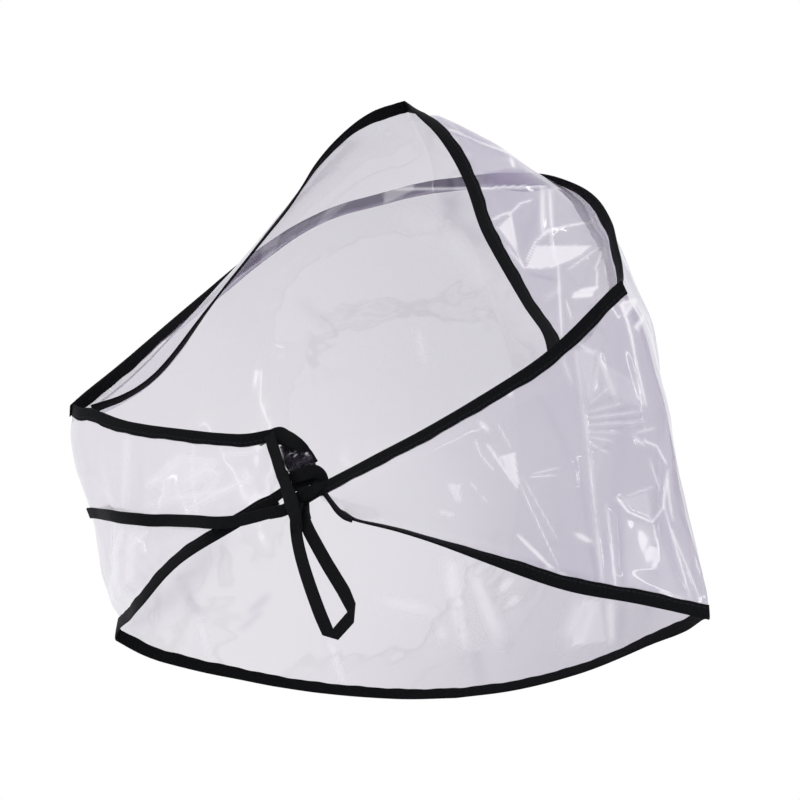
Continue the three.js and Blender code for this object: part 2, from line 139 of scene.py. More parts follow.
class Line:
    """A smooth line through points, read by the share of its length."""

    def __init__(self, points):
        p = np.asarray(points, float)
        p = np.vstack([2 * p[0] - p[1], p, 2 * p[-1] - p[-2]])
        t = np.linspace(0, 1, SAMPLES, endpoint=False)[:, None]
        parts = []
        for a, b, c, d in zip(p, p[1:], p[2:], p[3:]):
            ab, bc, cd = (max(np.linalg.norm(v) ** 0.5, 1e-6) for v in (b - a, c - b, d - c))
            leave = ((b - a) / ab - (c - a) / (ab + bc) + (c - b) / bc) * bc
            reach = ((c - b) / bc - (d - b) / (bc + cd) + (d - c) / cd) * bc
            parts.append(b + leave * t + (3 * (c - b) - 2 * leave - reach) * t**2
                         + (2 * (b - c) + leave + reach) * t**3)
        self.points = np.vstack(parts + [p[-2:-1]])
        steps = np.linalg.norm(np.diff(self.points, axis=0), axis=1)
        self.lengths = np.concatenate([[0], np.cumsum(steps)])
        self.length = self.lengths[-1]

    def at(self, shares):
        places = np.asarray(shares) * self.length
        return np.stack([np.interp(places, self.lengths, axis) for axis in self.points.T], axis=-1)


def tangents_of(points):
    steps = unit(np.diff(points, axis=0))
    return unit(np.vstack([steps[:1], steps[:-1] + steps[1:], steps[-1:]]))


quarter_turn = Line([(math.cos(a), math.sin(a), 0) for a in np.linspace(0, math.pi / 2, 7)])
print("a quarter turn measures", round(float(quarter_turn.length), 4), "and should be", round(math.pi / 2, 4))

# %% [markdown]
# ## A grid laid out
# Film, tape and ties are all flat goods. They could be draped by a cloth simulation, but then no fold would
# lie where the photograph has it. So each starts as Blender's own grid, and every point of the grid is
# moved to where the goods go. The grid keeps its map, in millimetres of goods, for the weave and the
# stitches to follow.

# %% Grid goods
def deselect():
    if bpy.context.object and bpy.context.object.mode != "OBJECT":
        bpy.ops.object.mode_set(mode="OBJECT")
    bpy.ops.object.select_all(action="DESELECT")


def map_in_millimetres(mesh, places):
    """Scales the grid's own map, across and along the goods."""
    layer = mesh.uv_layers[0]
    goods = np.zeros(len(mesh.loops) * 2, np.float32)
    layer.uv.foreach_get("vector", goods)
    goods = goods.reshape(-1, 2)
    across, along = places[places.shape[0] // 2], places[:, places.shape[1] // 2]
    for k, line in enumerate((across, along)):
        goods[:, k] *= np.linalg.norm(np.diff(line, axis=0), axis=1).sum() / MM
    layer.uv.foreach_set("vector", goods.ravel())


def close_up():
    """Welds the seam of a grid that goes round, fills its two ends and turns its faces outwards."""
    bpy.ops.object.mode_set(mode="EDIT")
    bpy.ops.mesh.select_all(action="SELECT")
    bpy.ops.mesh.remove_doubles(threshold=1e-6)
    bpy.ops.mesh.select_mode(type="EDGE")
    bpy.ops.mesh.select_all(action="DESELECT")
    bpy.ops.mesh.select_non_manifold()
    bpy.ops.mesh.fill_holes(sides=0)
    bpy.ops.mesh.select_all(action="SELECT")
    bpy.ops.mesh.normals_make_consistent(inside=False)
    bpy.ops.object.mode_set(mode="OBJECT")


def grid_goods(name, places, closed=False):
    """A mesh through places[along, across], and the row and column of each of its points."""
    rows, columns = places.shape[:2]
    deselect()
    bpy.ops.mesh.primitive_grid_add(x_subdivisions=columns - 1, y_subdivisions=rows - 1, size=2)
    piece = bpy.context.object
    piece.name = name
    mesh = piece.data
    mesh.name = name
    flat = np.zeros(len(mesh.vertices) * 3, np.float32)
    mesh.vertices.foreach_get("co", flat)
    flat = flat.reshape(-1, 3)
    i = np.rint((flat[:, 1] + 1) / 2 * (rows - 1)).astype(int)
    j = np.rint((flat[:, 0] + 1) / 2 * (columns - 1)).astype(int)
    mesh.vertices.foreach_set("co", places[i, j].astype(np.float32).ravel())
    map_in_millimetres(mesh, places)
    if closed:
        close_up()
    bpy.ops.object.shade_smooth()
    mesh.update()
    print(name, len(mesh.polygons), "faces")
    return piece, (i, j)


def keep_corners():
    """Shades the piece in hand smooth, but for its corners."""
    bpy.ops.object.shade_smooth_by_angle(angle=math.radians(50))


# %% [markdown]
# ## The free ties
# The tie is the edge tape carried on past the tip of the film, folded shut and stitched, 6 mm wide and
# limp. The tail lies along the left flap to its cut end, and the bow's loop hangs under the knot. A
# bevelled curve would do for a round cord, but it can't be pressed flat where the loop folds over. So a
# folded section is swept along each route. The routes are those of the solids.

# %% Tie routes
TAIL_ROUTE = np.array([
    (-1, -83.6, -230.8), (-8.5, -85.2, -232.8), (-16, -86, -234.6), (-26, -86.8, -236.2),
    (-38, -86.9, -235.6), (-50, -85.4, -232.6), (-62, -83, -229.4), (-72.5, -81.4, -227),
    (-82, -80.8, -225.6), (-93, -80, -223), (-106, -76.6, -218.6), (-118, -71.6, -213),
    (-132, -62, -205), (-146, -51.6, -196.6), (-155, -46.5, -192), (-163, -41.5, -188),
]) * MM
LOOP_ROUTE = np.array([
    (7, -85, -230.4), (8.5, -86.8, -238), (11.5, -87, -247), (15.5, -87, -256), (20.5, -87, -265.5),
    (26, -87, -275), (31.5, -87, -284), (36.5, -86.8, -292), (41, -86.4, -299), (46, -86, -300.5),
    (50, -85.6, -296), (50, -85.2, -288.5), (45, -85, -280.5), (38.5, -85, -272.5), (31, -85, -263.5),
    (23.5, -85, -254), (15.5, -85, -243.5), (10.5, -84, -236), (8, -82.2, -230.4),
]) * MM
LEG_ROUTE = np.array([
    (-0.123, -0.546, -0.790), (-0.105, -0.547, -0.815), (-0.084, -0.547, -0.840), (-0.063, -0.548, -0.866),
    (-0.042, -0.549, -0.891), (-0.019, -0.544, -0.918),
]) * HOOD_SIZES
print("routes of", len(TAIL_ROUTE), len(LOOP_ROUTE), "and", len(LEG_ROUTE), "points")

# %% A tie along its route
TIE_STEP = 1.2 * MM
CUT_STEPS = 4
# The section's outline: across and through, as shares of half the width and half the thickness
FOLDED_TIE = [
    (-1.00, 0.10), (-0.97, 0.62), (-0.90, 0.92), (-0.78, 1.00), (-0.40, 0.95), (0.0, 0.93), (0.40, 0.95),
    (0.80, 1.00), (0.93, 0.90), (0.99, 0.55), (0.97, 0.18), (0.90, 0.0), (0.97, -0.18), (0.99, -0.55),
    (0.93, -0.90), (0.80, -1.00), (0.40, -0.95), (0.0, -0.93), (-0.40, -0.95), (-0.78, -1.00),
    (-0.90, -0.92), (-0.97, -0.62), (-1.00, -0.10), (-1.00, 0.10),
]


def by_photo(rows, depth):
    """Points that show at (x, y) in the photograph, in the upright plane at the depth in metres."""
    x, y = (np.array(rows, float).T - PHOTO_SIDE / 2) / (LENS / SENSOR * PHOTO_SIDE)
    ways = x[:, None] * np.array(CAMERA_RIGHT) - y[:, None] * np.array(CAMERA_UP) - np.array(CAMERA_BACK)
    return np.array(CAMERA_AT) + ways * ((depth - CAMERA_AT[1]) / ways[:, 1])[:, None]


def folded_over(points, halves, shares, folds, ease=8):
    """Moves a tape's middles and half widths to where it is pressed flat at its folds.

    Each fold is a line from the outer to the inner edge, and is eased in over a few stations."""
    outer, inner = (by_photo([fold[k] for fold in folds], points[:, 1].mean()) for k in (0, 1))
    outer, inner = outer * (1, 0, 1), inner * (1, 0, 1)
    middles = (outer + inner) / 2
    nearest = [int(np.argmin(np.linalg.norm((points - middle) * (1, 0, 1), axis=1))) for middle in middles]
    middles[:, 1] = points[nearest, 1]
    first, last = nearest[0] - ease, nearest[-1] + ease
    knots = shares[[first, *nearest, last]]
    inside = slice(first, last + 1)
    at_folds = (outer - inner) / 2
    at_folds *= np.sign(dots(at_folds, halves[nearest]))
    for values, pressed in ((points, middles), (halves, at_folds)):
        rows = np.vstack([values[first], pressed, values[last]])
        values[inside] = np.stack([np.interp(shares[inside], knots, axis) for axis in rows.T], axis=-1)


def tie(name, route, front_at_start, front_at_end, slant=0.0, folds=()):
    """A folded tape along a route. It turns from one way of facing to another, and its end is cut aslant."""
    line = Line(route)
    stations = round(line.length / TIE_STEP)
    shares = np.linspace(0, 1, stations + 1)
    points = line.at(shares)
    tangents = tangents_of(points)
    facing = (1 - shares[:, None]) * np.array(front_at_start) + shares[:, None] * np.array(front_at_end)
    thick = square_to(facing, tangents)
    wide = np.cross(thick, tangents) * TIE_WIDTH / 2
    middles = points.copy()
    if folds:
        folded_over(middles, wide, shares, folds)
    profile = np.array(FOLDED_TIE) * (1, TIE_THICKNESS / 2)
    places = middles[:, None] + wide[:, None] * profile[None, :, :1] + thick[:, None] * profile[None, :, 1:]
    cut = np.clip(np.arange(len(points)) - stations + CUT_STEPS, 0, CUT_STEPS)[:, None, None] / CUT_STEPS
    places = places + tangents[:, None] * profile[None, :, :1] * cut * slant
    piece, _ = grid_goods(name, places, closed=True)
    keep_corners()
    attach(piece, "root")
    return piece, points, line.length


print("a folded section of", len(FOLDED_TIE) - 1, "points")

# %% The tail, the loop and the leg
tie_tail, tail_path, tail_length = tie("tail_of_the_tie", TAIL_ROUTE, (-0.05, -1, -0.1), (-0.62, -0.35, -0.7),
                                       slant=1.6 * MM)
# Each fold's line in the photograph, from the tape's outer edge to its inner edge
LOOP_FOLDS = [
    ((323, 636), (333.5, 629)), ((338, 640), (333.5, 629)),
    ((353, 622), (347, 612)), ((354.5, 602), (347, 612)),
]
tie_loop, loop_path, loop_length = tie("loop_of_the_bow", LOOP_ROUTE, (-0.1, -1, 0), (-0.1, -1, 0),
                                       folds=LOOP_FOLDS)
left_leg, _, leg_length = tie("leg_of_the_tie", LEG_ROUTE, (-0.15, -1, 0), (-0.3, -1, 0))
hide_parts("tie_tail")
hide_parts("tie_loop")
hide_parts("left_tie")
print(f"tail {tail_length:.3f} m, loop {loop_length:.3f} m, leg {leg_length:.3f} m")

# %% [markdown]
# ## The edges of the film
# On the real bonnet each panel is cut flat, and its edges are what shape it. One could shape the film first
# and cut it, but the black edges are what the photograph shows best. So the edges are written first, as
# shares of half the hood's width, of its depth and of its height from the crown seat. The left side's
# corners hang a little differently, which is what lift_left says.

# %% Edge tables
# across, back, up, lift_left
VISOR_EDGE = [
    (0, -0.481, 0.092, 0), (0.105, -0.551, 0.013, 0), (0.216, -0.551, -0.071, 0), (0.340, -0.519, -0.205, 0),
    (0.461, -0.519, -0.361, 0), (0.629, -0.519, -0.548, 0), (0.722, -0.545, -0.639, 0.010),
]
CROWN_SEAM = [
    (0, -0.192, 0.013, 0), (0.204, -0.215, -0.008, 0), (0.371, -0.250, -0.055, 0), (0.587, -0.285, -0.147, 0),
    (0.722, -0.327, -0.269, 0), (0.855, -0.436, -0.475, -0.010), (0.928, -0.538, -0.575, -0.058),
]
BACK_HEM = [
    (0, 0.526, -1.008, 0), (0.198, 0.516, -1.004, 0), (0.449, 0.455, -0.997, 0), (0.683, 0.362, -0.987, 0),
    (0.850, 0.269, -0.985, 0), (0.946, 0.165, -0.995, 0.010), (1.006, 0.090, -1.029, 0.050),
]
# across, back, up
RIGHT_FACE = [
    (0.928, -0.538, -0.575), (0.869, -0.571, -0.649), (0.792, -0.594, -0.714), (0.628, -0.602, -0.794),
    (0.432, -0.585, -0.858), (0.270, -0.558, -0.892), (0.078, -0.508, -0.917),
]
RIGHT_LOWER = [
    (1.006, 0.090, -1.029), (0.891, -0.078, -1.053), (0.746, -0.235, -1.072), (0.497, -0.417, -1.050),
    (0.365, -0.497, -1.035), (0.215, -0.529, -1.006), (0.150, -0.523, -0.972),
]
LEFT_FACE = [
    (0.918, -0.538, -0.633), (0.862, -0.570, -0.656), (0.790, -0.594, -0.670), (0.607, -0.602, -0.746),
    (0.404, -0.582, -0.780), (0.225, -0.549, -0.791), (0.110, -0.519, -0.768), (0.045, -0.503, -0.790),
    (-0.012, -0.494, -0.832),
]
LEFT_LOWER = [
    (1.006, 0.090, -0.979), (0.808, -0.128, -1.025), (0.611, -0.333, -1.067), (0.443, -0.449, -1.046),
    (0.269, -0.526, -1.017), (0.109, -0.513, -0.947), (0.070, -0.500, -0.930),
]
# Where the visor's ends are tucked behind the face edges, as shares of those edges, right and left
VISOR_TUCK = {1: 0.245, -1: 0.135}


def edge_line(rows, side):
    """An edge's line on one side of the bonnet: 1 is the picture's right, -1 its left."""
    table = np.array([row if len(row) == 4 else (*row, 0) for row in rows])
    points = table[:, :3].copy()
    if side < 0:
        points[:, 2] += table[:, 3]
    points[:, 0] *= side
    return Line(points * HOOD_SIZES)


for name, rows, side in (("crown seam", CROWN_SEAM, 1), ("back hem", BACK_HEM, 1),
                         ("right face", RIGHT_FACE, 1), ("left face", LEFT_FACE, -1)):
    print(name, "measures", round(float(edge_line(rows, side).length), 3), "m on one side")

# %% [markdown]
# ## Stations
# The hood has two long edges, each from the right tip over the middle to the left tip: the front one with the
# crown seam, and the hem. A place on them is told by its station. The stations are those of the solid's ribs,
# so the film of both is cut in the same way.

# %% Long edges
SEAM_RIBS = 21
FLAP_RIBS = 17
CORNER_SHARE = 0.56
MIDDLE = SEAM_RIBS + FLAP_RIBS
STATIONS = 2 * MIDDLE
RIGHT_CORNER = FLAP_RIBS
LEFT_CORNER = STATIONS - FLAP_RIBS


def long_edge(inner_rows, right_rows, left_rows):
    """A function from stations to points, along one of the hood's two long edges."""
    lines = {side: (edge_line(inner_rows, side), edge_line(flap, side))
             for side, flap in ((1, right_rows), (-1, left_rows))}

    def at(stations):
        stations = np.asarray(stations, float)
        steps = np.abs(stations - MIDDLE)
        points = np.zeros((len(stations), 3))
        for side in (1, -1):
            mine = (stations <= MIDDLE) if side > 0 else (stations > MIDDLE)
            inner, flap = lines[side]
            s = steps[mine]
            on_inner = inner.at(np.clip(s / SEAM_RIBS, 0, 1))
            on_flap = flap.at(np.clip((s - SEAM_RIBS) / FLAP_RIBS, 0, 1))
            points[mine] = np.where((s <= SEAM_RIBS)[:, None], on_inner, on_flap)
        return points

    return at


print(STATIONS + 1, "stations, the corners at", RIGHT_CORNER, "and", LEFT_CORNER)

# %% [markdown]
# ## How the edges hang
# Limp tape never hangs quite true. A noise could shake it, but here each small sag is read from the
# photograph: the tables say how far the edge lies off its line, and every sag is eased into the next.

# %% Hanging edges
# station, then how far the edge hangs to the picture's right and up from its line, in millimetres
FRONT_HANG = [
    (0, -0.9, 1.5), (4, -0.9, 1.5), (8, -0.5, 1.0), (12, 0, 0.6), (14, 0, 3.0), (15.5, -0.2, 5.0),
    (17, 0, 5.6), (19, 1.2, 1.4), (21, 1.8, 0.4), (23, 0.6, 0.2), (25, 1.6, -0.2), (27, 1.8, 0.8),
    (29, 0.5, 1.4), (31, -0.2, 2.4), (33, 0, 0.6), (36, 0, 0.6), (39, -0.4, 2.4), (41, -0.4, 1.6),
    (43, -0.6, 3.2), (45, -1.8, 2.6), (47, -0.6, 1.0), (51, -0.6, 0.8), (55, -1.5, 1.4), (58, -1.3, 1.0),
    (59, -0.8, 0.5), (60, 0, -0.4), (61.5, -0.6, -2.4), (63, -0.2, -0.6), (65, 0.6, 2.3), (67, 0.4, 2.8),
    (71, 0.2, 2.4), (73, 0, 0), (76, 0, 0),
]
HEM_HANG = [
    (0, 0.2, -0.6), (2, 0, 0.4), (5, 0.2, 0), (7, -0.2, -1.2), (9, -0.5, -2.1), (11, -0.7, -2.8),
    (15, -0.6, -2.8), (17, 1.7, -3.5), (19, 2.5, -4.4), (21, 1.4, -3.2), (24, 0.6, -1.4), (29, 0.5, -1.6),
    (35, 0.2, -1.4), (43, 0, -1.7), (50, -0.4, -2.3), (55, -0.2, -0.9), (57, -0.6, -1.4), (59, -2.6, 1.2),
    (60, -3.2, 3.2), (61.5, -2.1, 2.3), (64, 0, 0), (68, 1.5, -1.2), (71, 0.8, -0.9), (74, 1.5, -2.5),
    (76, 0.8, -1.2),
]
VISOR_HANG = [
    (0, 0, 0), (2, -1.6, -1.0), (6, -2.0, -1.2), (10, -2.9, -1.5), (12, -2.0, -0.6), (14, -0.8, -0.6),
    (18, -1.2, -1.1), (20, 0.4, 0.3), (21, 0.2, 0.2), (22, -1.0, 1.8), (24, -0.4, 0.4), (26, -0.3, 0.4),
    (28, 1.0, -0.6), (31, -0.5, 0.4), (36, -0.7, 1.1), (39.5, 0.6, -0.8), (41, -1.4, 0), (42, -4.6, 0.5),
]


def hung(edge, rows):
    """The edge's function, with the hang eased in from row to row."""
    table = np.array(rows)

    def at(stations):
        right, up = (sum(np.interp(stations + d, table[:, 0], column) for d in (-0.6, 0, 0.6)) / 3 * MM
                     for column in table.T[1:])
        return edge(stations) + right[:, None] * np.array(CAMERA_RIGHT) + up[:, None] * np.array(CAMERA_UP)

    return at


front_edge = hung(long_edge(CROWN_SEAM, RIGHT_FACE, LEFT_FACE), FRONT_HANG)
hem_edge = hung(long_edge(BACK_HEM, RIGHT_LOWER, LEFT_LOWER), HEM_HANG)
for name, edge in (("front edge", front_edge), ("hem", hem_edge)):
    steps = np.diff(edge(np.linspace(0, STATIONS, 400)), axis=0)
    print(name, "measures", round(float(np.linalg.norm(steps, axis=1).sum()), 3), "m from tip to tip")

# %% [markdown]
# ## How the film leaves its edges
# Between its two long edges the hood's film is a row of ribs, each a Bezier curve. A table gives the way each
# rib sets off from the front edge and from the hem, as shares of the rib's span. On the crown seam the film
# first goes down a thin standing fin, where the tape holds it together with the visor's film.

# %% Rib directions
# along, out, back, up, left_out
FROM_FRONT = [
    (0, 0, 0.36, 0.03, 0), (0.28, 0.03, 0.34, 0.02, 0.06), (0.46, 0.05, 0.28, -0.12, 0.06),
    (0.56, 0.07, 0.17, -0.24, 0.05), (0.78, 0.02, -0.05, -0.30, 0.04), (1, 0, -0.02, -0.33, 0),
]
FROM_HEM = [
    (0, 0, 0.18, 0.40, 0), (0.28, 0.01, 0.14, 0.38, 0.06), (0.46, -0.05, 0.02, 0.36, 0.06),
    (0.56, -0.06, -0.06, 0.34, 0.05), (0.78, 0.02, -0.08, 0.30, 0.04), (1, 0, -0.02, 0.33, 0),
]


def read(rows, along):
    """The rows' columns at shares along, each easing from row to row."""
    table = np.array(rows)
    along = np.clip(along, 0, 1)
    k = np.clip(np.searchsorted(table[:, 0], along, side="left"), 1, len(table) - 1)
    a, b = table[k - 1], table[k]
    t = smooth((along - a[:, 0]) / (b[:, 0] - a[:, 0]))
    return (a[:, 1:] + (b[:, 1:] - a[:, 1:]) * t[:, None]).T


def side_and_along(stations):
    """The side of each station, and its share of the way from the middle to the tip."""
    side = np.where(stations <= MIDDLE, 1, -1)
    steps = np.abs(stations - MIDDLE)
    along = np.where(steps <= SEAM_RIBS, CORNER_SHARE * steps / SEAM_RIBS,
                     CORNER_SHARE + (1 - CORNER_SHARE) * (steps - SEAM_RIBS) / FLAP_RIBS)
    return side, along


def rib_ways(rows, stations):
    """The ways in which the ribs set off at the stations."""
    side, along = side_and_along(stations)
    out, back, up, left_out = read(rows, along)
    return np.stack([side * out - np.where(side < 0, left_out, 0), back, up], axis=-1)


print("the middle rib leaves the crown seam along", rib_ways(FROM_FRONT, np.array([MIDDLE]))[0].tolist())

# %% [markdown]
# ## How the edges roll
# A bound edge is stiffer than the film, so it rolls: in places it shows its flat side, and in places it
# stands edge-on and looks thin. The roll is told in the eye's own terms, so it can be read from the
# photograph.

# %% Rolled edges
def rolled(ways, stations, rows):
    """Ways turned about their edge as seen from the camera. Each row is (station, flat, towards, away).

    flat turns a tape to face the eye, and towards and away turn it edge-on, to and from the eye."""
    flat, towards, away = (np.interp(stations, *np.array(rows).T[[0, k]])[:, None] for k in (1, 2, 3))
    back = np.array(CAMERA_BACK)
    ways = unit(ways - flat * dots(ways, back) * back)
    return unit(ways * (1 - towards - away) + back * (towards - away))


FRONT_ROLL = [
    (0, 0.7, 0, 0), (15, 0.7, 0, 0), (17, 0.4, 0, 0), (18, 0, 0, 0.7), (19, 0, 0, 0.88), (25, 0, 0, 0.88),
    (26, 0, 0, 0.7), (28, 0, 0, 0.8), (30, 0, 0, 0.9), (31, 0, 0, 0.85), (35, 0, 0, 0), (44, 0, 0, 0),
    (49, 0.6, 0, 0), (59, 0.7, 0, 0), (62, 0.6, 0, 0), (76, 0.6, 0, 0),
]
HEM_ROLL = [
    (0, 0, 0, 0.96), (3, 0, 0, 0.93), (5, 0, 0, 0.82), (7, 0, 0, 0.55), (9, 0, 0, 0.2), (11, 0.5, 0, 0),
    (16, 0.5, 0, 0), (20, 0.4, 0, 0), (76, 0.4, 0, 0),
]
VISOR_ROLL = [
    (0, 0.9, 0, 0), (15, 0.9, 0, 0), (19, 0.4, 0, 0), (22, 0.4, 0, 0), (26, 0.6, 0, 0), (28, 0.35, 0, 0),
    (30, 0.15, 0, 0), (33, 0.1, 0, 0), (42, 0.2, 0, 0),
]
CROWN_CENTRE = np.array([0, 0, -0.45 * HOOD_HEIGHT])
FIN_TURN = 8


def front_ways(stations):
    """The hood's ways in from its front edge, turned down into the fin along the crown seam."""
    down = CROWN_CENTRE - front_edge(stations)
    down[:, 1] = 0
    steps = np.minimum(stations - RIGHT_CORNER, LEFT_CORNER - stations)
    share = np.where(steps >= 0, smooth((steps + 1) / (FIN_TURN + 1)), 0)[:, None]
    ways = unit(rib_ways(FROM_FRONT, stations)) * (1 - share) + unit(down) * share
    return rolled(ways, stations, FRONT_ROLL)


def hem_ways(stations):
    """The hood's ways in from its hem. Towards the right tip the edge rolls in under the film."""
    return rolled(unit(rib_ways(FROM_HEM, stations)), stations, HEM_ROLL)


print("rolls given at", len(FRONT_ROLL), len(HEM_ROLL), "and", len(VISOR_ROLL), "stations")

# %% [markdown]
# ## The edges' frames
# Film and tape meet at the edge, so both must be laid from the same directions there: along the edge, in
# along the film, and out of it. They are worked out once at the whole stations and eased between them,
# which keeps a ribbon from kinking. At a corner a mitre lengthens the way in, as in any folded binding.

# %% Edge frames
class Edge:
    """An edge with the way in along its film and the way out of it, eased between the stations."""

    def __init__(self, at, ways, count, flip):
        whole = np.arange(count + 1.0)
        tangents = tangents_of(at(whole))
        self.at = at
        self.whole = whole
        self.inwards = square_to(unit(ways(whole)), tangents)
        self.normals = unit(np.cross(self.inwards, tangents)) * flip

    def frame(self, stations):
        def eased(values):
            spread = np.linspace(-0.5, 0.5, 9)
            mean = sum(np.stack([np.interp(stations + d, self.whole, axis) for axis in values.T], axis=-1)
                       for d in spread)
            return unit(mean)

        points = self.at(stations)
        inwards, normals = eased(self.inwards), eased(self.normals)
        step = tangents_of(points)
        mitre = 1 / np.maximum(0.6, np.linalg.norm(np.cross(step, inwards), axis=-1, keepdims=True))
        return points, inwards, normals, mitre


front = Edge(front_edge, front_ways, STATIONS, 1)
hem = Edge(hem_edge, hem_ways, STATIONS, -1)
print("the mitres reach", round(float(max(edge.frame(edge.whole)[3].max() for edge in (front, hem))), 2))

# %% [markdown]
# ## The hood's film
# The film is one clear sheet. Its large shape is the ribs', and its soft folds are those of the solid. On top
# come the marks of packing it away: straight creases, which are placed by where the photograph shows them,
# and a fine crumple whose ridges come from folded noise. A bump map could fake the creases, but the light on
# film breaks at a real crease, and so does its outline.

# %% Soft folds
# side, along, width, depth as a share of FOLD_DEPTH
SOFT_FOLDS = [
    (1, 0.16, 0.030, 1.0), (1, 0.36, 0.025, -1.0), (1, 0.60, 0.022, 0.83), (1, 0.72, 0.025, -0.83),
    (-1, 0.20, 0.030, -1.0), (-1, 0.42, 0.028, 1.0), (-1, 0.66, 0.025, -0.83), (-1, 0.80, 0.020, 0.67),
]
FOLD_DEPTH = 3 * MM


def soft_folds(stations):
    side, along = side_and_along(stations)
    total = np.zeros(len(stations))
    for fold_side, place, width, depth in SOFT_FOLDS:
        total += (side == fold_side) * depth * FOLD_DEPTH * np.exp(-((along - place) / width) ** 2)
    return total


most_fold = soft_folds(np.arange(STATIONS + 1.0)).max()
print(len(SOFT_FOLDS), "soft folds, at most", round(float(most_fold) / MM, 1), "mm")


# %% Marks in the film
def crease_field(pixels, creases, softer=1.0):
    """Heights in metres, and whitening with painted highlight and shade, of tent-shaped creases along short
    lines of the photograph.

    Each is (x0, y0, x1, y1, half width in pixels, height in mm, whitening with painted highlight, or painted
    shade below 0)."""
    heights = np.zeros(pixels.shape[:-1])
    whitening_and_light = np.zeros(pixels.shape[:-1])
    for x0, y0, x1, y1, width, height, whiten_and_light in creases:
        width = width * softer
        start, way = np.array([x0, y0]), np.array([x1 - x0, y1 - y0])
        t = np.clip(((pixels - start) @ way) / (way @ way), 0, 1)
        off = np.linalg.norm(pixels - start - t[..., None] * way, axis=-1)
        fade = np.sqrt(np.clip(4 * t * (1 - t) + 0.2, 0, 1))
        heights += height * MM * fade * np.exp(-np.sqrt(off**2 + 0.8 * softer**3) / width)
        whitening_and_light += whiten_and_light * fade * np.exp(-((off / (0.8 * width)) ** 2))
    return heights, whitening_and_light


def facet_light_field(pixels, facets):
    """Painted light and shade of flat facets.

    Each is a convex outline in the photograph's pixels, clockwise, and its painted light, or painted shade
    below 0."""
    whitening_and_light = np.zeros(pixels.shape[:-1])
    for outline, whiten_and_light in facets:
        corners = np.array(outline, float)
        inside = np.full(pixels.shape[:-1], np.inf)
        for a, b in zip(corners, np.roll(corners, -1, axis=0)):
            way = (b - a) / np.linalg.norm(b - a)
            inside = np.minimum(inside, (pixels - a) @ np.array([-way[1], way[0]]))
        whitening_and_light += whiten_and_light * smooth(inside / 3 + 0.5)
    return whitening_and_light


def bulge_field(pixels, bulges):
    """How far the film stands out, in metres. Each is (x, y, reach in pixels, height in mm)."""
    total = np.zeros(pixels.shape[:-1])
    for x, y, reach, height in bulges:
        total += height * MM * np.exp(-np.sum((pixels - (x, y)) ** 2, axis=-1) / (2 * reach**2))
    return total


def crumple_field(points, cell, seed):
    """Folded noise in metres of height per metre of cell: flat facets between sharp ridges."""
    flat = points.reshape(-1, 3) / cell + seed
    values = [abs(noise.noise(Vector(p))) for p in flat]
    return np.array(values).reshape(points.shape[:-1])


print("crumple at three places:", np.round(crumple_field(np.eye(3), 0.7, 7.3), 3).tolist())


# %% Outwards, and free of the tapes
def outwards_of(grid, centre):
    """Unit normals of a grid's points, away from a centre."""
    normals = unit(np.cross(np.gradient(grid, axis=0), np.gradient(grid, axis=1)))
    return normals * np.sign(dots(normals, grid - centre))


def free_rows(rows, held, reach=12):
    """0 on the rows held by the tapes, rising to 1 in the free film."""
    k = np.arange(rows)
    return smooth((np.minimum(k, rows - 1 - k) - held) / reach)[None]


print("rows from tape to tape:", np.round(free_rows(9, 1, reach=3)[0], 2).tolist())
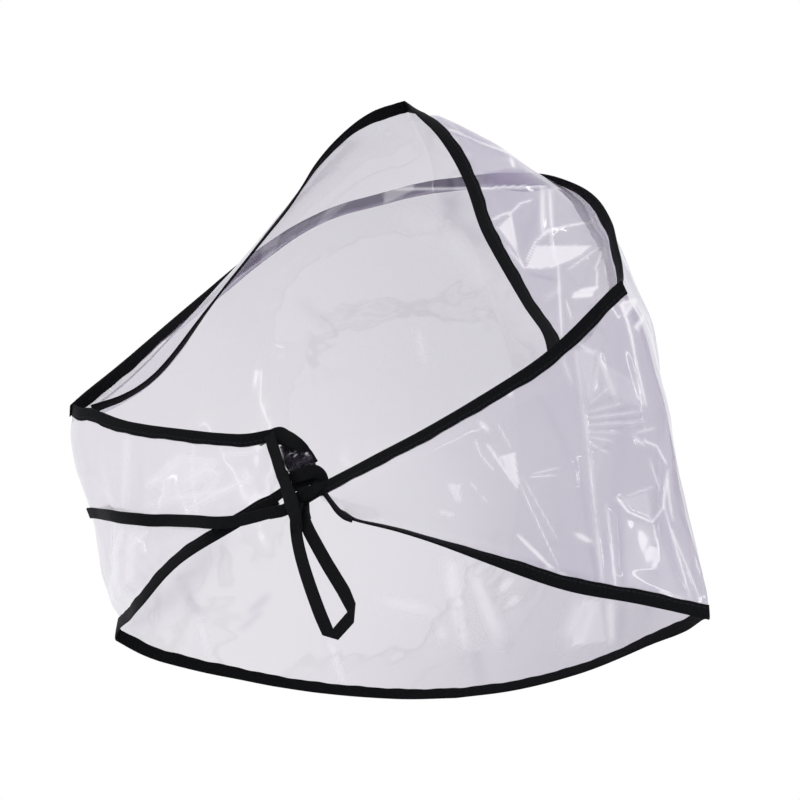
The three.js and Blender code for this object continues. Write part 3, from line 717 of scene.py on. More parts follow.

# %% [markdown]
# ## Creases
# Packed film keeps its fold marks. The tables below place them, each on the layer of film it belongs to:
# the near one, which shows its outside, or the far one, which shows its inside. A crease is a low tent in the
# film, whitened where the vinyl was strained and also given a painted highlight or painted shade, and a facet
# is a flat patch between creases, painted lighter as if it caught light, or darker as painted shade.

# %% Crease tables
# x0, y0, x1, y1, half width in pixels, height in mm, whitening with painted highlight (below 0, painted
# shade)
NEAR_CREASES = [
    (621, 302, 633, 352, 2, 0.8, 0.44), (633, 352, 646, 406, 1.7, 0.64, 0.4),
    (617, 304, 634, 300, 2.3, 0.48, 0.28), (625, 316, 635, 301, 2.3, 0.48, 0.24),
    (632, 330, 640, 318, 2.3, 0.4, 0.2), (588, 405, 608, 388, 1.6, 0.4, 0.13),
    (589, 408, 618, 395, 1.6, -0.4, -0.08), (588, 412, 626, 402, 1.6, 0.4, 0.14),
    (589, 415, 634, 407, 1.6, -0.4, -0.08), (588, 418, 643, 411, 1.6, 0.48, 0.18),
    (589, 422, 646, 416, 1.6, -0.48, -0.1), (588, 425, 646, 421, 1.6, 0.48, 0.16),
    (589, 429, 640, 427, 1.6, -0.4, -0.08), (588, 432, 622, 433, 1.6, 0.4, 0.13),
    (590, 437, 612, 441, 1.6, 0.4, 0.18), (590, 444, 608, 453, 1.8, 0.48, 0.19),
    (592, 450, 612, 447, 1.8, -0.32, -0.1), (574, 345, 583, 405, 2.9, 0.64, 0.16),
    (583, 405, 588, 450, 2.6, 0.8, 0.2), (588, 450, 596, 520, 2.9, 0.96, 0.2),
    (596, 520, 603, 590, 2.9, 0.8, 0.22), (578, 460, 590, 540, 3.9, -0.8, -0.08),
    (590, 540, 598, 586, 3.4, -0.64, -0.12), (607, 505, 613, 560, 2.3, 0.64, 0.22),
    (611, 545, 616, 590, 1.8, 0.64, 0.4), (619, 510, 623, 592, 3.4, -0.56, -0.14),
    (618, 498, 630, 512, 2.1, 0.64, 0.44), (630, 512, 655, 523, 1.7, 0.64, 0.36),
    (655, 523, 668, 508, 1.7, 0.64, 0.36), (668, 508, 674, 470, 2.1, 0.64, 0.4),
    (645, 441, 660, 446, 1.7, 0.48, 0.34), (660, 446, 672, 464, 1.7, 0.48, 0.34),
    (628, 496, 658, 487, 1.4, 0.4, 0.22), (652, 460, 664, 490, 2, 0.56, 0.22),
    (668, 500, 690, 598, 2.1, 0.72, 0.24), (673, 480, 678, 520, 2.3, 0.48, 0.32),
    (676, 530, 700, 600, 1.8, 0.64, 0.24), (660, 520, 684, 590, 2.6, -0.48, -0.1),
    (636, 433, 656, 428, 2.1, 0.4, 0.2), (634, 436, 646, 446, 2.6, 0.32, 0.22),
    (488, 445, 517, 487, 2.1, 0.64, 0.48), (512, 456, 518, 482, 2.3, 0.48, 0.4),
    (518, 480, 560, 570, 1.3, 0.48, 0.27), (522, 476, 558, 540, 1.3, 0.48, 0.22),
    (518, 535, 548, 565, 2.3, 0.64, 0.56), (548, 565, 566, 578, 2.6, 0.64, 0.48),
    (475, 440, 481, 455, 1.4, 0.4, 0.34), (481, 455, 494, 470, 1.4, 0.4, 0.34),
    (470, 482, 477, 490, 1.4, 0.32, 0.26), (482, 495, 488, 503, 1.4, 0.32, 0.26),
    (497, 422, 511, 448, 1.4, 0.4, 0.22), (480, 422, 489, 431, 3.4, 0.32, 0.26),
    (529, 477, 556, 475, 1.3, 0.32, 0.27), (532, 474, 560, 467, 1.3, 0.32, 0.22),
    (576, 534, 592, 542, 3.4, 0.4, 0.4), (450, 485, 460, 500, 3.9, 0.4, 0.36),
    (440, 512, 453, 515, 2.9, 0.32, 0.32), (560, 350, 572, 385, 2.9, 0.48, 0.16),
    (575, 341, 592, 352, 3.4, 0.32, 0.18), (600, 356, 590, 400, 3.9, 0.64, 0.13),
    (596, 350, 618, 405, 2.9, 0.48, 0.13), (520, 560, 600, 584, 5.2, 0, -0.2),
    (540, 395, 575, 470, 5.2, 0.64, -0.05), (127, 440, 126, 510, 4.2, 0.48, 0.26),
    (139, 440, 142, 506, 4.2, -0.36, -0.09), (148, 482, 170, 478, 4.2, 0.2, 0.2),
    (150, 485, 178, 458, 4.6, 0.22, 0.22), (178, 458, 216, 462, 4.4, 0.2, 0.22),
    (172, 468, 165, 500, 4.8, 0.22, 0.2), (165, 500, 200, 495, 4.4, 0.2, 0.2),
    (150, 505, 225, 490, 3.8, 0.2, 0.22), (180, 485, 205, 468, 4.4, 0.2, 0.2),
    (205, 468, 220, 475, 4.4, 0.2, 0.22), (218, 478, 205, 492, 4.4, 0.18, 0.2),
    (185, 510, 250, 478, 3.8, 0.2, 0.22), (225, 455, 260, 450, 4.4, 0.16, 0.14),
    (245, 470, 251, 481, 4.2, 0.18, 0.24), (126, 522, 124, 560, 2.9, 0.42, 0.2),
    (136, 522, 140, 600, 3.5, 0.42, 0.24), (128, 560, 120, 610, 2.9, 0.36, 0.19),
    (150, 525, 148, 560, 2.9, -0.3, -0.09), (135, 546, 150, 530, 2.9, 0.24, 0.27),
    (80, 425, 104, 560, 4.8, 0.36, -0.09),
]
FAR_CREASES = [
    (448, 560, 462, 640, 3.2, 1.2, 0.32), (470, 565, 500, 640, 3.6, 1.0, 0.32),
    (459, 556, 482, 688, 2.6, -0.8, -0.12), (180, 575, 200, 620, 2.2, 0.8, -0.12),
    (200, 620, 208, 655, 1.8, 0.6, 0.25), (330, 640, 345, 688, 1.8, 0.8, 0.30),
    (585, 600, 570, 642, 5.0, 0.8, 0.30), (500, 590, 512, 579, 1.8, 0.4, 0.40),
    (506, 605, 518, 598, 1.8, 0.4, 0.40), (610, 600, 612, 642, 1.8, 0.8, 0.40),
    (622, 602, 618, 642, 2.2, -0.6, -0.15), (418, 330, 424, 362, 1.8, 0.5, 0.22),
    (400, 216, 450, 232, 6.0, 0.8, 0.16), (450, 232, 490, 282, 6.0, 0.8, 0.16),
    (490, 282, 545, 342, 6.0, 0.8, 0.14), (450, 196, 449, 222, 4.0, -0.8, -0.22),
    (449, 222, 482, 246, 4.0, -0.8, -0.20), (128, 628, 176, 592, 5.0, 0.6, -0.16),
    (176, 592, 222, 540, 6.0, 0.6, -0.14), (250, 612, 268, 596, 1.8, 0.4, -0.16),
    (240, 630, 262, 612, 1.6, 0.4, -0.12), (380, 600, 430, 610, 3.0, 0.6, 0.22),
    (436, 618, 444, 640, 2.6, 0.6, 0.26), (300, 300, 330, 330, 3.0, 0.4, -0.06),
]
VISOR_CREASES = [
    (541, 190, 543, 235, 3.8, 0.72, 0.24), (549, 192, 552, 235, 1.9, 0.48, 0.27),
    (550, 235, 556, 262, 2.4, 0.48, 0.22), (558, 262, 562, 340, 2.2, 0.64, 0.3),
    (566, 300, 572, 320, 2, 0.4, 0.23), (489, 221, 503, 215, 1.8, 0.48, 0.37),
    (503, 215, 511, 214, 1.8, 0.48, 0.37), (511, 214, 520, 205, 1.8, 0.48, 0.36),
    (520, 205, 532, 201, 1.8, 0.4, 0.3), (526, 262, 535, 243, 1.8, 0.48, 0.36),
    (535, 243, 548, 232, 1.8, 0.48, 0.36), (548, 232, 565, 227, 1.8, 0.48, 0.36),
    (565, 227, 590, 223, 1.8, 0.48, 0.33), (590, 223, 597, 215, 1.8, 0.4, 0.29),
    (511, 216, 518, 255, 1.6, 0.48, 0.29), (518, 255, 524, 268, 1.6, 0.4, 0.23),
    (502, 240, 524, 268, 1.8, 0.4, 0.23), (526, 268, 545, 269, 1.6, 0.4, 0.24),
    (600, 247, 568, 270, 1.6, 0.48, 0.26), (602, 248, 607, 278, 1.6, 0.48, 0.3),
    (573, 297, 592, 296, 2.7, 0.48, 0.43), (580, 291, 597, 288, 2.4, 0.4, 0.42),
    (597, 288, 597, 270, 1.8, 0.4, 0.29), (595, 270, 602, 252, 1.6, 0.4, 0.29),
    (437, 126, 470, 135, 1.6, 0.4, 0.27), (470, 135, 545, 176, 1.8, 0.4, 0.3),
    (450, 135, 470, 156, 1.8, 0.4, 0.22), (509, 160, 513, 170, 2.4, 0.4, 0.36),
    (528, 274, 558, 280, 2.7, -0.32, -0.13), (540, 200, 520, 250, 6.8, 0.64, -0.07),
    (570, 205, 590, 235, 4.1, 0.48, -0.07), (560, 290, 545, 300, 4.1, 0.4, 0.12),
    (395, 189, 545, 188, 1.8, 0.24, 0.4),
]
# each facet: a convex outline in pixels, and its painted light, or painted shade below 0
NEAR_FACET_LIGHT = [
    ([(500, 456), (515, 452), (518, 486)], 0.40), ([(617, 302), (635, 300), (625, 316)], 0.26),
    ([(632, 328), (641, 316), (637, 334)], 0.22), ([(576, 350), (596, 350), (588, 400)], 0.10),
    ([(620, 500), (650, 492), (656, 522)], 0.10), ([(450, 484), (462, 484), (456, 502)], 0.25),
    ([(600, 360), (632, 380), (642, 408), (604, 392)], 0.08),
    ([(626, 520), (662, 526), (676, 590), (628, 588)], 0.06),
    ([(152, 484), (178, 460), (216, 464), (212, 478), (170, 500)], 0.14),
]
FAR_FACET_LIGHT = [
    ([(584, 600), (600, 600), (606, 642), (572, 646)], 0.20),
    ([(450, 560), (462, 560), (482, 650), (462, 650)], 0.12),
]
VISOR_FACET_LIGHT = [
    ([(536, 246), (602, 246), (580, 256), (566, 268), (526, 268)], 0.36),
    ([(498, 227), (511, 216), (516, 252)], 0.30),
    ([(486, 174), (505, 171), (522, 172), (546, 187), (486, 187)], -0.30),
    ([(498, 175), (522, 175), (540, 186), (498, 186)], -0.16),
    ([(384, 190), (414, 184), (414, 190), (384, 204)], 0.20),
    ([(246, 258), (300, 224), (345, 203), (345, 212), (300, 234), (256, 266)], 0.06),
    ([(262, 246), (282, 232), (270, 262), (262, 268)], 0.10),
    ([(330, 206), (352, 199), (322, 226), (312, 232)], 0.10),
    ([(540, 190), (554, 190), (555, 234), (541, 236)], 0.08),
    ([(574, 292), (597, 288), (592, 297), (573, 298)], 0.35),
]
print(len(NEAR_CREASES), "creases on the near film,", len(FAR_CREASES), "on the far film and",
      len(VISOR_CREASES), "on the visor")

# %% [markdown]
# ## Dressing a film
# A plain film becomes a used one in four steps, each a height off its surface: wide swells, creases, crumple,
# and nothing at all where a tape holds it. Far film shows through the near one, so its marks are softer.
# Displace modifiers could stack these too, but then each would need its own texture.

# %% Dressing
# x, y, reach in pixels, height in mm
HOOD_BULGES = [
    (104, 575, 30, 8.2), (650, 328, 22, 1.6), (632, 280, 18, -1.0), (675, 450, 26, -1.2),
    (686, 510, 44, -4.4),
]
VISOR_BULGES = [(515, 158, 30, 1.4), (475, 130, 22, -2.2), (425, 108, 14, 2.4)]
CRUMPLE_CELL = 26 * MM
CRUMPLE_FINER = 0.45
CRUMPLE_HEIGHT = 0.020
FAR_SOFTER = 3.0
FAR_LOWER = 0.6
INSIDE = np.array([0, 0.02, -0.15])


def dressed(grid, held, near_rows, far_rows, bulges, softer=1.0):
    """A film grid with its bulges, creases and crumple, and how far each point is whitened or given painted
    highlight or shade.
    """
    pixels = photo_pixels(grid)
    outwards = outwards_of(grid, INSIDE)
    near = smooth(0.5 + 3 * (outwards @ np.array(CAMERA_BACK)))
    near_high, near_whitening_and_light = crease_field(pixels, near_rows[0])
    far_high, far_whitening_and_light = crease_field(pixels, far_rows[0], softer)
    near_whitening_and_light = near_whitening_and_light + facet_light_field(pixels, near_rows[1])
    far_whitening_and_light = far_whitening_and_light + facet_light_field(pixels, far_rows[1])
    crumple = sum(crumple_field(grid, CRUMPLE_CELL * size, 7.3 + k) * CRUMPLE_CELL * size
                  for k, size in enumerate((1, CRUMPLE_FINER)))
    high = near_high * near - FAR_LOWER * far_high * (1 - near)
    high = high + bulge_field(pixels, bulges) + crumple * CRUMPLE_HEIGHT
    free = free_rows(grid.shape[1], held)
    moved = grid + outwards * (high * free)[..., None]
    return moved, near, near_whitening_and_light * near + far_whitening_and_light * (1 - near)


# %% [markdown]
# ## The hood's ribs
# Each rib leaves the front edge along its table's way and reaches the hem along the hem's, as a Bezier
# curve does between its two handles. Near both edges the film lies straight in its tape, and only what is
# between is free.

# %% Hood film
# station, ribs up to there: the grid is closest where the near film shows its creases
RIB_SPREAD = [(0, 0), (4, 20), (27, 280), (52, 440), (60, 476), (73, 570), (76, 582)]
HOOD_ROWS = 164
HELD_ROWS = 3
HELD_FILM = TAPE_WIDTH + 2 * MM
HELD_SHARE = 0.33


def bezier(a, b, c, d, t):
    """Points at t along Bezier curves from a to d with the handles b and c, one curve to a row."""
    t = t[None, :, None]
    a, b, c, d = (p[:, None] for p in (a, b, c, d))
    return (1 - t) ** 3 * a + 3 * (1 - t) ** 2 * t * b + 3 * (1 - t) * t**2 * c + t**3 * d


def held_at_both_ends(first, ribs, last):
    """Ribs with the straight rows that the tapes hold, from the first edge and to the last one."""
    inner = np.linspace(0.02, 1, HELD_ROWS, endpoint=False)[None, :, None]
    start, end = ribs[:, :1], ribs[:, -1:]
    head = first[:, None] + (start - first[:, None]) * inner
    tail = end + (last[:, None] - end) * (1 - inner[:, ::-1])
    return np.concatenate([head, ribs, tail], axis=1)


def hood_places(stations):
    """The hood's film before it is dressed, as places[station, row]."""
    f_point, f_in, f_normal, f_mitre = front.frame(stations)
    h_point, h_in, h_normal, h_mitre = hem.frame(stations)
    span = np.linalg.norm(f_point - h_point, axis=-1, keepdims=True)
    held = np.minimum(HELD_FILM, span * HELD_SHARE)
    start = f_point + f_in * held * f_mitre
    end = h_point + h_in * held * h_mitre
    free = span - 2 * held
    t = np.linspace(0, 1, HOOD_ROWS + 1)
    size = np.linalg.norm(rib_ways(FROM_HEM, stations), axis=-1, keepdims=True)
    ribs = bezier(start, start + rib_ways(FROM_FRONT, stations) * free,
                  end + unit(hem_ways(stations)) * size * free, end, t)
    swell = soft_folds(stations)[:, None] * np.sin(np.pi * t)[None] ** 2
    ribs = ribs + unit(f_normal + h_normal)[:, None] * swell[..., None]
    return held_at_both_ends(f_point, ribs, h_point)


hood_stations = np.interp(np.arange(RIB_SPREAD[-1][1] + 1.0), *np.array(RIB_SPREAD, float).T[::-1])
hood_grid, hood_near, hood_whitening_and_light = dressed(hood_places(hood_stations), HELD_ROWS, (NEAR_CREASES, NEAR_FACET_LIGHT),
                                           (FAR_CREASES, FAR_FACET_LIGHT), HOOD_BULGES, FAR_SOFTER)
print("hood grid", hood_grid.shape, "of which near", round(float(hood_near.mean()), 2))
hood_film, hood_index = grid_goods("clear_hood", hood_grid)
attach(hood_film, "root")
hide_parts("hood_film")

# %% [markdown]
# ## The visor's film
# The visor is a crescent that shares the crown seam with the hood. It goes down the fin beside the hood's
# film, turns out over the brow and rises to a crease before it comes down to its free edge. Two sheets
# could simply cross at the seam, but the fin shows, so the visor gets its own foot in it.

# %% The visor's free edge
# along, foot_rise, edge_rise
VISOR_RISE = [
    (0, 0.80, 0.30), (0.16, 0.95, 0.75), (0.34, 0.85, 0.50), (0.54, 0.60, 0.10), (0.80, 0.45, -0.45),
    (1, 0.45, -0.45),
]
VISOR_STATIONS = 2 * SEAM_RIBS
TUCK_DEPTH = 4.1 * MM


def visor_line(side):
    """The visor's free edge on one side, from its peak to its end, which is tucked behind the face edge."""
    face = edge_line(RIGHT_FACE if side > 0 else LEFT_FACE, side)
    corner = RIGHT_CORNER if side > 0 else LEFT_CORNER
    tuck = face.at([VISOR_TUCK[side]])[0] - front.normals[corner - side] * TUCK_DEPTH
    table = np.array(VISOR_EDGE)
    free = table[:, :3] * (side, 1, 1)
    if side < 0:
        free[:, 2] += table[:, 3]
    return Line(np.vstack([free * HOOD_SIZES, tuck]))


visor_lines = {side: visor_line(side) for side in (1, -1)}


def visor_table_edge(stations):
    """The visor's free edge, from its right end (0) over its peak to its left end."""
    share = np.abs(stations / SEAM_RIBS - 1)
    right, left = (visor_lines[side].at(share) for side in (1, -1))
    return np.where((stations <= SEAM_RIBS)[:, None], right, left)


visor_edge = hung(visor_table_edge, VISOR_HANG)
peak = visor_edge(np.array([float(SEAM_RIBS)]))[0]
print("the visor's peak stands", np.round(peak / MM, 1).tolist(), "mm from the crown seat")


# %% The visor's foot in the fin
VISOR_BEHIND = 0.8 * MM
VISOR_CLEAR = 0.9 * MM
VISOR_TURN = 5
FIN_HEIGHT = TAPE_WIDTH + 3 * MM


def visor_offset(stations):
    """How far the visor's film lies from the hood's along the seam."""
    steps = np.minimum(stations, VISOR_STATIONS - stations)
    return VISOR_CLEAR + (VISOR_BEHIND - VISOR_CLEAR) * smooth(steps / VISOR_TURN)


def visor_foot(stations):
    """The film's line on the seam, its foot down the fin, the way out from the foot and the seam's way in."""
    point, inwards, normal, mitre = front.frame(stations + RIGHT_CORNER)
    seam = point - normal * visor_offset(stations)[:, None]
    foot = seam + inwards * FIN_HEIGHT * mitre
    return seam, foot, unit(visor_edge(stations) - foot), inwards


def visor_rises(stations):
    """How steeply the film rises from its foot, and to its free edge."""
    return read(VISOR_RISE, np.abs(stations / SEAM_RIBS - 1))


def visor_ways(stations):
    _, _, way, inwards = visor_foot(stations)
    return rolled(unit(-way - inwards * visor_rises(stations)[1][:, None]), stations, VISOR_ROLL)


visor = Edge(visor_edge, visor_ways, VISOR_STATIONS, 1)
print("the fin is", round(FIN_HEIGHT / MM, 1), "mm high inside")


# %% Visor film
VISOR_HELD_SHARE = 0.55
HANDLE_SHARE = 0.33
VISOR_RIBS = 340
VISOR_ROWS = 110


def visor_places(stations):
    """The visor's film before it is dressed, as places[station, row]."""
    seam, foot, way, down = visor_foot(stations)
    free, inwards, _, mitre = visor.frame(stations)
    span = np.linalg.norm(foot - free, axis=-1, keepdims=True)
    held = np.minimum(HELD_FILM, span * VISOR_HELD_SHARE)
    end = free + inwards * held * mitre
    rise = visor_rises(stations)[0][:, None]
    t = np.linspace(0, 1, VISOR_ROWS + 1)
    ribs = bezier(foot, foot + (way - down * rise) * span * HANDLE_SHARE,
                  end + inwards * span * HANDLE_SHARE, end, t)
    return held_at_both_ends(seam, ribs, free)


visor_plain = visor_places(np.linspace(0, VISOR_STATIONS, VISOR_RIBS + 1))
visor_grid, _, visor_whitening_and_light = dressed(visor_plain, HELD_ROWS, (VISOR_CREASES, VISOR_FACET_LIGHT),
                                     (VISOR_CREASES, VISOR_FACET_LIGHT), VISOR_BULGES)
visor_film, visor_index = grid_goods("clear_visor", visor_grid)
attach(visor_film, "root")
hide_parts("visor_film")

# %% [markdown]
# ## Haze
# Vinyl film is never quite clear. Haze is how much light it stops, and milk is how white the haze is. Both
# could be painted on, but a few marks do: each says how hazy and milky the film is about one place of the
# photograph, and every point of a film takes a soft mean of the marks near it. The marks hold the film's own
# haze together with painted light and shade: clearer and whiter where the film would catch light, hazier and
# smokier where it would lie in shade. Strained creases are whiter, and creases and facets also carry painted
# highlights and shade.

# %% Haze
# x and y in the photograph, reach in pixels, haze, milk: the film's own haze together with painted light and
# shade
NEAR_HAZE_AND_LIGHT = [
    (110, 480, 60, 0.20, 0.86), (200, 470, 60, 0.20, 0.80), (130, 570, 60, 0.22, 0.68),
    (400, 500, 60, 0.20, 0.86), (480, 470, 70, 0.36, 0.30), (560, 420, 70, 0.40, 0.18),
    (620, 330, 60, 0.40, 0.18), (600, 430, 60, 0.39, 0.20), (640, 530, 60, 0.34, 0.34),
    (680, 500, 40, 0.28, 0.50), (680, 570, 60, 0.30, 0.44), (560, 550, 50, 0.42, 0.14),
]
FAR_HAZE_AND_LIGHT = [
    (330, 400, 110, 0.40, 0.18), (330, 260, 90, 0.52, 0.10), (450, 330, 90, 0.54, 0.10),
    (480, 380, 80, 0.55, 0.09), (230, 350, 90, 0.38, 0.20), (300, 600, 110, 0.38, 0.22),
    (480, 640, 90, 0.55, 0.05), (560, 620, 90, 0.59, 0.02), (200, 620, 90, 0.38, 0.20),
    (420, 580, 60, 0.36, 0.24),
]
VISOR_HAZE_AND_LIGHT = [
    (400, 150, 90, 0.53, 0.10), (340, 180, 70, 0.46, 0.14), (520, 210, 70, 0.41, 0.15),
    (560, 240, 60, 0.35, 0.20), (500, 160, 60, 0.43, 0.10), (140, 385, 60, 0.30, 0.28),
]


def blended(pixels, marks):
    """Haze and milkiness at each pixel, with painted light and shade, a soft mean of the marks around it."""
    marks = np.array(marks)
    away = np.linalg.norm(pixels[..., None, :] - marks[:, :2], axis=-1) / marks[:, 2]
    share = np.exp(-(away**2) / 2) + 1e-6 / (1 + away**2)
    share = share / share.sum(axis=-1, keepdims=True)
    return share @ marks[:, 3], share @ marks[:, 4]


def whitened_and_shaded(haze_and_light, milk_and_light, whitening_and_light):
    """Haze and milkiness where the film is whitened with painted highlight, or made hazier and smokier as
    painted shade where the value is below 0.
    """
    pale, grey = np.clip(whitening_and_light, 0, 0.8), np.clip(-whitening_and_light, 0, 0.5)
    haze_and_light = haze_and_light + 1.5 * pale * (1 - haze_and_light) + 0.8 * grey * (1 - haze_and_light)
    return np.clip(haze_and_light, 0, 0.92), np.clip(milk_and_light + 3.0 * pale - 1.5 * grey, 0, 1)


hood_pixels = photo_pixels(hood_grid)
near_haze_and_light, near_milk_and_light = blended(hood_pixels, NEAR_HAZE_AND_LIGHT)
far_haze_and_light, far_milk_and_light = blended(hood_pixels, FAR_HAZE_AND_LIGHT)
hood_haze_and_light, hood_milk_and_light = whitened_and_shaded(far_haze_and_light + (near_haze_and_light - far_haze_and_light) * hood_near,
                                far_milk_and_light + (near_milk_and_light - far_milk_and_light) * hood_near, hood_whitening_and_light)
visor_haze_and_light, visor_milk_and_light = whitened_and_shaded(*blended(photo_pixels(visor_grid), VISOR_HAZE_AND_LIGHT), visor_whitening_and_light)
print("mean haze: hood", round(float(hood_haze_and_light.mean()), 2), "visor", round(float(visor_haze_and_light.mean()), 2))

# %% [markdown]
# ## The bound edges
# A woven tape is folded lengthwise over each edge and stitched through. Its section is a flat U that opens
# towards the film. A bevelled curve gives a closed tube, which would hide the film inside it. So the strip is
# laid as a grid, and it gets its cloth thickness from a Solidify modifier.

# %% Folded tape
TAPE_STEP = 1.5 * MM
# In from the edge in millimetres, and off the film as a share of the half gap
TAPE_PROFILE = [
    (5.9, 1.0), (4.8, 1.0), (3.4, 1.05), (2.2, 1.05), (1.0, 1.0), (0.3, 0.85), (-0.12, 0.5), (-0.3, 0.0),
]


def tape(name, edge, start, end, nodes, behind=None, trim=0.0):
    """Tape folded over an edge from one station to another.

    behind is how far a second film lies under the first."""
    ends = edge.at(np.array([start, end], float))
    dense = edge.at(np.linspace(start, end, 400))
    length = np.linalg.norm(np.diff(dense, axis=0), axis=1).sum()
    count = max(8, round(length / TAPE_STEP))
    stations = np.linspace(start + trim, end - trim, count + 1)
    point, inwards, normal, mitre = edge.frame(stations)
    upper = np.array(TAPE_PROFILE)
    profile = np.vstack([upper, upper[-2::-1] * (1, -1)])
    ease = 1 + 0.03 * np.sin(stations * 2.3) + 0.02 * np.sin(stations * 5.1 + 1)
    depth = profile[:, 0][None] * MM * ease[:, None]
    high = np.maximum(profile[:, 1], 0)[None] * FILM_GAP
    second = 0 if behind is None else behind(stations)[:, None]
    low = np.minimum(profile[:, 1], 0)[None] * (FILM_GAP + second)
    places = (point[:, None] + inwards[:, None] * (depth * mitre)[..., None]
              + normal[:, None] * (high + low)[..., None])
    piece, _ = grid_goods(name, places)
    wall = piece.modifiers.new("cloth", "SOLIDIFY")
    wall.thickness = TAPE_THICKNESS
    wall.offset = 0
    bpy.ops.object.modifier_apply(modifier=wall.name)
    keep_corners()
    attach(piece, "root")
    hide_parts(*nodes)
    print(name, "length", round(float(length), 3), "m, ends", np.round(ends, 3).tolist())
    return piece


visor_tape = tape("tape_of_the_visor", visor, 0, VISOR_STATIONS, ["visor_binding"])
crown_tape = tape("tape_of_the_crown_seam", front, RIGHT_CORNER, LEFT_CORNER, ["crown_binding"],
                  behind=lambda stations: visor_offset(stations - RIGHT_CORNER))
right_tape = tape("tape_of_the_right_face", front, 0, RIGHT_CORNER, ["right_face_binding"], trim=0.02)
left_tape = tape("tape_of_the_left_face", front, LEFT_CORNER, STATIONS, ["left_face_binding"], trim=0.02)
hem_tape = tape("tape_of_the_hem", hem, 0, STATIONS, ["hem_binding"])
tapes = [visor_tape, crown_tape, right_tape, left_tape, hem_tape]

# %% [markdown]
# ## The films' areas
# The two films are limp. The area of each, as it is shaped here, is printed.

# %% Film areas
print("film areas", {piece.name: round(sum(face.area for face in piece.data.polygons), 4)
                     for piece in (hood_film, visor_film)})

# %% [markdown]
# ## The knot
# The tips of the hood's tapes run into one knot, in front of the gathered point of the film. A knot could be
# sculpted from a block, but tape keeps its width and its flat sides however it is wound. So each strand is a
# folded tape laid through a few points about the knot, and two turns of tape are drawn tight round them. All
# strands are joined into one piece.

# %% Knot
KNOT_AT = np.array([0.027, -0.513, -0.918]) * HOOD_SIZES
FRONT = np.array([0, -1, 0])


def about_knot(rows):
    """Points that show at (x, y) in the photograph, the third value in mm before the knot's middle plane."""
    rows = np.array(rows, float)
    return by_photo(rows[:, :2], KNOT_AT[1] - rows[:, 2] * MM)


def strand(name, rows, width, thickness, step=1.0):
    """A folded tape through about_knot rows, facing forwards, width and thickness in millimetres."""
    line = Line(about_knot(rows))
    shares = np.linspace(0, 1, max(6, round(line.length / (step * MM))) + 1)
    points = line.at(shares)
    tangents = tangents_of(points)
    thick = square_to(unit(FRONT + np.array(CAMERA_BACK))[None], tangents)
    wide = np.cross(thick, tangents)
    narrow = 1 - 0.10 * np.sin(shares * 9 + width)[:, None, None]
    profile = np.array(FOLDED_TIE) * (width * MM / 2, thickness * MM / 2)
    across, through = profile[None, :, :1], profile[None, :, 1:]
    places = points[:, None] + wide[:, None] * across * narrow + thick[:, None] * through
    piece, _ = grid_goods(name, places, closed=True)
    return piece


print("the knot is at", np.round(KNOT_AT, 3).tolist())

# %% The knot's strands
# name, rows of (x, y, lift), width and thickness
STRANDS = [
    ("knot_right_strand", [(334, 483, 0), (322, 489, 1.5), (308, 497, 2.5), (294, 504, 2.5), (282, 511, 1.5),
                           (270, 514, 0.5)], 5.6, 1.4),
    ("knot_left_strand", [(268, 503, -2), (280, 494, -1), (292, 487, 0), (304, 482, 0.5),
                          (314, 478, 0)], 5.2, 1.4),
    ("knot_turn_over", [(287, 484, 0), (293, 478, 2.2), (304, 474, 3.6), (315, 472, 3.2), (320, 478, 1),
                        (319, 487, -1.5)], 6.6, 1.5),
    ("knot_turn_under", [(321, 482, 0), (316, 489, 3.0), (306, 494, 4.0), (297, 499, 3.4),
                         (289, 505, 1.5)], 6.0, 1.5),
    ("knot_turn_back", [(292, 472, -2), (304, 470, -2.5), (317, 473, -2.5), (321, 484, -2.5), (312, 493, -2),
                        (298, 497, -2)], 6.4, 1.4),
    ("knot_face_fold", [(260, 440, 0), (269, 436, 1.6), (279, 433, 2.4), (289, 440, 2.8), (297, 444, 2.6),
                        (303, 449, 1.6), (306, 456, 0)], 6.2, 1.4),
    ("knot_face_fold_under", [(272, 441, -0.6), (282, 439, 0.8), (291, 444, 1.2), (300, 449, 0.6),
                              (307, 455, 0), (312, 464, -1)], 6.4, 1.3),
    ("knot_gather_back", [(286, 444, -2.2), (291, 458, -2.4), (296, 470, -2.4), (300, 484, -2)], 7.4, 1.0),
    ("knot_gather_side", [(299, 446, -2.6), (304, 458, -2.8), (309, 468, -2.8), (311, 482, -2)], 7.6, 1.0),
    ("knot_leg_strand", [(282, 474, 5.4), (286, 486, 6.4), (290, 498, 7.2), (293, 509, 7.6), (296, 520, 7.6),
                         (297, 531, 6.8)], 6.2, 1.3),
    ("knot_loop_strand", [(303, 487, 0.5), (303, 498, 1.5), (303, 508, 0.5), (306, 520, 0)], 5.6, 1.3),
    ("knot_hem_strand", [(352, 520, 3.2), (345, 517, 2.8), (338, 511, 2.2), (331, 502, 1.2), (323, 492, 0.2),
                         (312, 484, -0.5)], 2.6, 1.1),
]
print(len(STRANDS), "strands in the knot")

# %% Winding the knot
strands = [strand(*row) for row in STRANDS]
deselect()
for piece in strands:
    piece.select_set(True)
bpy.context.view_layer.objects.active = strands[0]
bpy.ops.object.join()
knot = strands[0]
knot.name = "knot_under_the_chin"
keep_corners()
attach(knot, "root")
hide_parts("chin_knot")

# %% [markdown]
# ## The gathered point of the film
# Where the film's point is drawn into the knot it lies in tight pleats over the black tape, dark with
# bright glints. Pleats could be pulled in by a cloth simulation, but these are 1 mm deep and show only as
# glints. So they are a small grid between a top and a bottom line, folded by two waves and crumpled towards
# the eye. Its glints are partly painted: where the crumple is high the film is made hazier and milky, as
# painted highlights.

